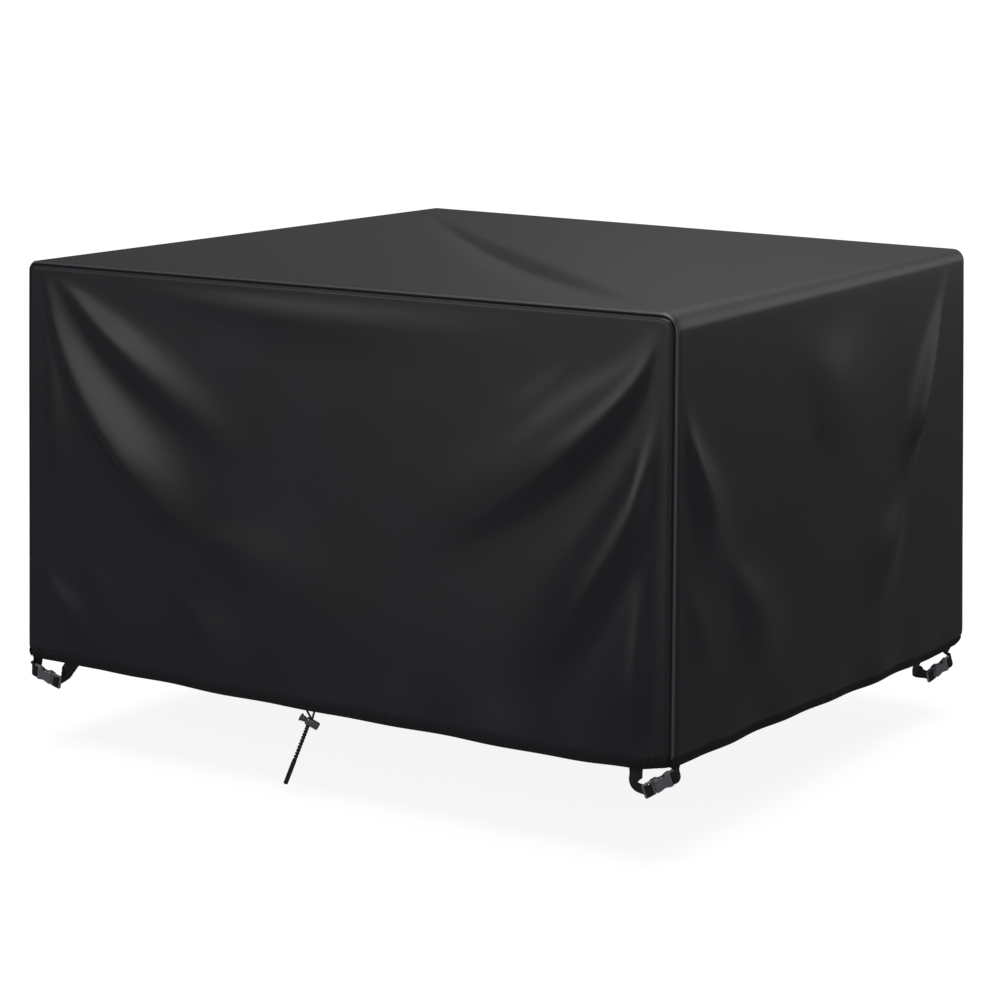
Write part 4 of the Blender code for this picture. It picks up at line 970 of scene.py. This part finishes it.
def panel_sheet(wall):
    """A panel, in even cells, smaller ones over its rounded edges and its hem."""
    width = panel_width(wall)
    height = HEIGHT - edge_shift(EDGE_ROUND_TOP)
    arc = SEAM_FLAT + EDGE_ROUND_TOP * math.pi / 4
    columns = graded(-SEAM_LAP, (SEAM_FLAT, 4), (arc, 3), (PANEL_EDGE, 16),
                     (width - PANEL_EDGE, round((width - 2 * PANEL_EDGE) / PANEL_CELL)),
                     (width - arc, 16), (width - SEAM_FLAT, 3), (width + SEAM_LAP, 4))
    rows = graded(-SEAM_LAP, (SEAM_FLAT, 4), (arc, 3), (PANEL_EDGE, 16),
                  (height - LOW_EDGE, round((height - PANEL_EDGE - LOW_EDGE) / PANEL_CELL)),
                  (height, 16))[::-1]

    def seam_marks(across, down):
        beside = min(across, width - across, down)
        return hump(beside - PRESSED_PLACE, PRESSED_WIDE), 0.0

    piece = laid_sheet("sheet_" + wall, columns, rows,
                       lambda across, down: panel_points(wall, across, down),
                       lambda across, down: (across, down))
    sewn_edges(piece, lambda across, down: (height - down, across), seam_marks)
    smooth_shading(thickened(piece, CLOTH, -1), 60)
    return piece


def band_sheet():
    """The long cloth, in even cells on each face, smaller ones at its bends, lips and hems."""
    wall_cells, top_cells = round(HEIGHT / BAND_WALL_CELL), round(TOP_LENGTH / BAND_TOP_CELL)
    low = LOW_EDGE / HEIGHT
    path = graded(0.0, (low, 10), (1.0, wall_cells), (2.0, 12), (3.0, top_cells), (4.0, 12),
                  (5.0 - low, wall_cells), (5.0, 10))
    width = band_width()
    arc = SEAM_FLAT + EDGE_ROUND_TOP * math.pi / 4
    cross = graded(0.0, (LIP_FLAT, 3), (LIP_FOOT, 5), (arc, 3), (BAND_EDGE, 6),
                   (width - BAND_EDGE, round((width - 2 * BAND_EDGE) / BAND_CROSS_CELL)),
                   (width - arc, 6), (width - LIP_FOOT, 3), (width - LIP_FLAT, 5), (width, 3))
    lengths = np.cumsum((0.0, HEIGHT, BEND_LENGTH, TOP_LENGTH, BEND_LENGTH, HEIGHT))

    def seam_marks(along, across):
        # The second mark is the lip's pale painted highlight along its fold.
        return 0.0, float(1 - smooth((min(across, width - across) - PAINTED_HIGHLIGHT_TO) / PAINTED_HIGHLIGHT_FADE))

    piece = laid_sheet("sheet_band", path, cross, band_points,
                       lambda along, across: (np.interp(along, range(6), lengths), across))
    sewn_edges(piece, lambda along, across: (min(along, lengths[-1] - along), across), seam_marks)
    smooth_shading(thickened(piece, CLOTH, -1), 60)
    return piece


# ---- webbing ----
def smooth_route(points, per_span):
    """A Catmull-Rom curve through the points, per_span points to each stretch."""
    route = [points[0]]
    for index in range(len(points) - 1):
        before = points[max(index - 1, 0)]
        start, end = points[index], points[index + 1]
        after = points[min(index + 2, len(points) - 1)]
        for step in range(1, per_span + 1):
            t = step / per_span
            route.append(0.5 * (2 * start + (end - before) * t
                                + (2 * before - 5 * start + 4 * end - after) * t ** 2
                                + (3 * start - before - 3 * end + after) * t ** 3))
    return route


def spline_points(start, start_pull, end_pull, end, steps):
    """Points of a cubic from start to end, both ends left out."""
    points = []
    for step in range(1, steps):
        t = step / steps
        points.append(start * (1 - t) ** 3 + start_pull * 3 * t * (1 - t) ** 2
                      + end_pull * 3 * t * t * (1 - t) + end * t ** 3)
    return points


def buckle_frame(strap_set):
    """The buckle's frame: x from the ladder frame to the fixed bar, z out of its face."""
    heading, slope, tilt = (math.radians(v) for v in (strap_set.heading, strap_set.slope, strap_set.tilt))
    axis = Vector((math.cos(heading) * math.cos(slope), math.sin(heading) * math.cos(slope),
                   math.sin(slope)))
    level = Vector((math.sin(heading), -math.cos(heading), 0.0)) * strap_set.face_side
    up = axis.cross(level)
    up = up if up.z > 0 else -up
    out = level * math.cos(tilt) - up * math.sin(tilt)
    frame = Matrix((axis, out.cross(axis), out)).transposed().to_4x4()
    frame.translation = Vector(strap_set.centre)
    return frame


def seat_point(wall, across, rise):
    """Middle of webbing laid inside the hem, or hanging straight on down from it."""
    point, normal, _, down = wall_frame(wall, across, max(rise, 0.0))
    return point - normal * (CLOTH + WEB_CLEAR + WEB / 2) + down * max(-rise, 0.0)


def seat_edges(seat, side):
    """Edge pairs of webbing sewn inside the hem at its lean, from its top end down."""
    lean = math.radians(seat.lean)
    half = WEB_WIDTH / 2
    edges = []
    for rise in (HEM_BAND, HEM_BAND / 2, 0.0, -MM - half * abs(math.sin(lean))):
        across = seat.across - math.tan(lean) * rise
        aside, above = half * math.cos(lean), half * math.sin(lean)
        edges.append([seat_point(seat.wall, across - turn * aside, rise - turn * above)
                      for turn in (-1, 1)])
    if (edges[-1][1] - edges[-1][0]).dot(side) < 0:
        edges = [pair[::-1] for pair in edges]
    return edges


def bar_loop():
    """The short webbing's way round the fixed bar, as places in the buckle's frame."""
    return [Vector((x, 0.0, z)) * MM for x, z in BAR_LOOP]


def ladder_weave(entry, skew):
    """The long webbing's way through the ladder frame, coming in at its two angles."""
    back, aside = math.radians(entry), math.radians(skew)
    coming = Vector((-math.cos(back) * math.cos(aside), math.sin(aside),
                     -math.sin(back) * math.cos(aside)))
    woven = [Vector((x, 0.0, z)) for x, z in LADDER_WEAVE]
    return [point * MM for point in [woven[0] + coming * run for run in ENTRY_RUNS] + woven]


def webbing_strap(strap_set, seat, weave, slack, name):
    """One webbing strap, from inside the hem to its end of the buckle and round the bar."""
    frame = buckle_frame(strap_set)
    side = frame.to_3x3().col[1]
    edges = seat_edges(seat, side)
    start = (edges[-1][0] + edges[-1][1]) / 2
    seat_side = math.copysign(1.0, (start - frame.translation).dot(side))
    woven = [frame @ (place * Vector((1.0, seat_side, 1.0))) for place in weave]
    leave = start - (edges[-2][0] + edges[-2][1]) / 2
    arrive = woven[1] - woven[0]
    span = (woven[0] - start).length
    first = (edges[-1][1] - edges[-1][0]).normalized()
    free = spline_points(start, start + leave.normalized() * span * slack.leave,
                         woven[0] - arrive.normalized() * span * slack.arrive, woven[0], FREE_STEPS)
    line = [start] + free + [woven[0]]
    for step, centre in enumerate(free, 1):
        along = (line[step + 1] - line[step - 1]).normalized()
        turned = smooth((step / FREE_STEPS - slack.straight) / (1 - slack.straight))
        width = first.slerp(side, turned)
        width = (width - along * width.dot(along) * WEB_SKEW).normalized() * WEB_WIDTH / 2
        edges.append((centre - width, centre + width))
    edges += [(centre - side * WEB_WIDTH / 2, centre + side * WEB_WIDTH / 2) for centre in woven]
    left = smooth_route([pair[0] for pair in edges], WEAVE_STEPS)
    right = smooth_route([pair[1] for pair in edges], WEAVE_STEPS)
    runs = [0.0]
    for before, after in zip(zip(left[:-1], right[:-1]), zip(left[1:], right[1:])):
        runs.append(runs[-1] + ((sum(after, Vector()) - sum(before, Vector())) / 2).length)
    piece = laid_sheet(name, WEB_SHARES, list(range(len(left))),
                       lambda share, row: [left[int(r)].lerp(right[int(r)], s)
                                           for s, r in zip(share, row)],
                       lambda share, row: (share * WEB_WIDTH, np.array(runs)[row.astype(int)]))
    smooth_shading(thickened(piece, WEB, 0, WEB_EDGE), 50)
    return piece, runs[-1]


# ---- buckles and cord lock ----
def moulded_copy(cad_node, name, edge):
    """A moulding of the solid's own shape, with its edges rounded as a mould leaves them."""
    piece = frame["nodes"][cad_node].copy()
    piece.data = piece.data.copy()
    piece.name = name
    bpy.context.scene.collection.objects.link(piece)
    welded = bmesh.new()
    welded.from_mesh(piece.data)
    bmesh.ops.remove_doubles(welded, verts=welded.verts, dist=WELD_GAP)
    bmesh.ops.dissolve_limit(welded, angle_limit=math.radians(2), verts=welded.verts, edges=welded.edges)
    welded.to_mesh(piece.data)
    welded.free()
    round_edges(piece, edge, 35)
    apply_modifiers(piece)
    smooth_shading(piece, 40)
    return piece


# ---- the drawcord ----
def lock_frame():
    """The cord lock's frame: z from the barrel's mouth towards the head, x along its hole."""
    up = -PRESS_AXIS
    through = (TAIL_LINE - up * TAIL_LINE.dot(up)).normalized()
    frame = Matrix((through, up.cross(through), up)).transposed().to_4x4()
    frame.translation = Vector(LOCK_HOLE) + up * HOLE_BELOW_MOUTH
    return frame


def strand_centres(side):
    """A strand's centres: out from behind the hem, through the lock, then the twist."""
    sign = -1.0 if side == "left" else 1.0
    hole = Vector(LOCK_HOLE)
    through = lock_frame().to_3x3().col[0]
    stacked = PRESS_AXIS * STRAND_OFFSET * sign
    inside = CLOTH + 5 * GAP + CORD / 2
    point, normal, _, down = wall_frame("front", STRAND_EXITS[side], 0.0)
    centres = [point - normal * inside + down * drop for drop in EXIT_DROPS]
    centres += [hole + through * along + stacked for along in HOLE_PLACES]
    second = TAIL_LINE.cross(PRESS_AXIS).normalized()
    first = second.cross(TAIL_LINE)
    turns = TWIST_LENGTH / TWIST_PITCH
    steps = round(turns * TWIST_POINTS_PER_TURN)
    for step in range(1, steps + 1):
        share = step / steps
        lag = TWIST_LAG * (1 - share) * math.exp(-TWIST_LAG_FADE * share)
        angle = 2 * math.pi * turns * (share - lag)
        turned = first * math.cos(angle) + second * math.sin(angle)
        centres.append(hole + through * HOLE_PLACES[-1] + TAIL_LINE * TWIST_LENGTH * share
                       + turned * STRAND_OFFSET * sign)
    return centres


def tube(name, route, radius):
    """A round cord along a route, its ends closed, with a UV map in metres round and along it."""
    along = [0.0]
    for before, after in zip(route[:-1], route[1:]):
        along.append(along[-1] + (after - before).length)
    rings = []
    across = (route[1] - route[0]).orthogonal().normalized()
    for index, centre in enumerate(route):
        way = (route[min(index + 1, len(route) - 1)] - route[max(index - 1, 0)]).normalized()
        across = (across - way * across.dot(way)).normalized()
        second = way.cross(across)
        rings.append([centre + (across * math.cos(a) + second * math.sin(a)) * radius
                      for a in np.linspace(0, 2 * math.pi, CORD_SIDES + 1)])
    piece = laid_sheet(name, list(range(CORD_SIDES + 1)), list(range(len(route))),
                       lambda turn, ring: [rings[int(r)][int(t)] for t, r in zip(turn, ring)],
                       lambda turn, ring: (turn * 2 * math.pi * radius / CORD_SIDES,
                                           np.array(along)[ring.astype(int)]))
    closed = bmesh.new()
    closed.from_mesh(piece.data)
    bmesh.ops.remove_doubles(closed, verts=closed.verts, dist=WELD_GAP / 2)
    bmesh.ops.holes_fill(closed, edges=[edge for edge in closed.edges if edge.is_boundary])
    bmesh.ops.recalc_face_normals(closed, faces=closed.faces)
    closed.to_mesh(piece.data)
    closed.free()
    smooth_shading(piece, 50)
    return piece, along[-1]


def strand_route(side):
    """A strand's centres, rounded off where it comes out of the hem and into the lock."""
    centres = strand_centres(side)
    return smooth_route(smooth_route(centres[:4], 3) + centres[4:], 2)


# ---- putting it together ----
def add_cords(cord, nylon):
    sleeve = moulded_copy("cord_end_sleeve", "end_sleeve", SLEEVE_EDGE)
    finish_piece(sleeve, nylon, "cover", "cord_end_sleeve")
    for side in STRAND_EXITS:
        route = strand_route(side)
        strand, length = tube("strand_" + side, route, CORD / 2)
        finish_piece(strand, cord, "cover", "cord_strand_" + side)


def add_cord_lock(nylon):
    for cad_node, body in (("toggle_barrel", "cover"), ("toggle_plunger", "plunger")):
        piece = moulded_copy(cad_node, cad_node.replace("toggle", "lock"), LOCK_EDGE)
        finish_piece(piece, nylon, body, cad_node)


def add_strap_sets(webbing, acetal):
    for strap_set in STRAP_SETS:
        for half in ("prong", "socket"):
            cad_node = "buckle_%s_%s" % (half, strap_set.name)
            piece = moulded_copy(cad_node, "clip_%s_%s" % (half, strap_set.name), BUCKLE_EDGE)
            finish_piece(piece, acetal, "cover", cad_node)
        long_weave = ladder_weave(strap_set.entry, strap_set.skew)
        runs = (("long", strap_set.long_seat, long_weave, strap_set.long_slack),
                ("short", strap_set.short_seat, bar_loop(), SHORT_SLACK))
        for label, seat, weave, slack in runs:
            ends = "_%s_%s" % (label, strap_set.name)
            strap, length = webbing_strap(strap_set, seat, weave, slack, "webbing" + ends)
            finish_piece(strap, webbing, "cover", "strap" + ends)


def add_cloth(cloth):
    band = finish_piece(band_sheet(), cloth, "cover", "cloth_band")
    for wall in ("front", "back"):
        panel = finish_piece(panel_sheet(wall), cloth, "cover", "panel_" + wall)


add_camera()
add_cords(braided_polyester(), moulded_nylon("moulded_black_nylon", SLEEVE_BLACK, 0.22))
add_cord_lock(moulded_nylon("moulded_grey_nylon", LOCK_GREY, 0.28))
add_stage()
add_lights()
add_cloth(coated_polyester())
add_strap_sets(webbing_weave(), moulded_acetal())
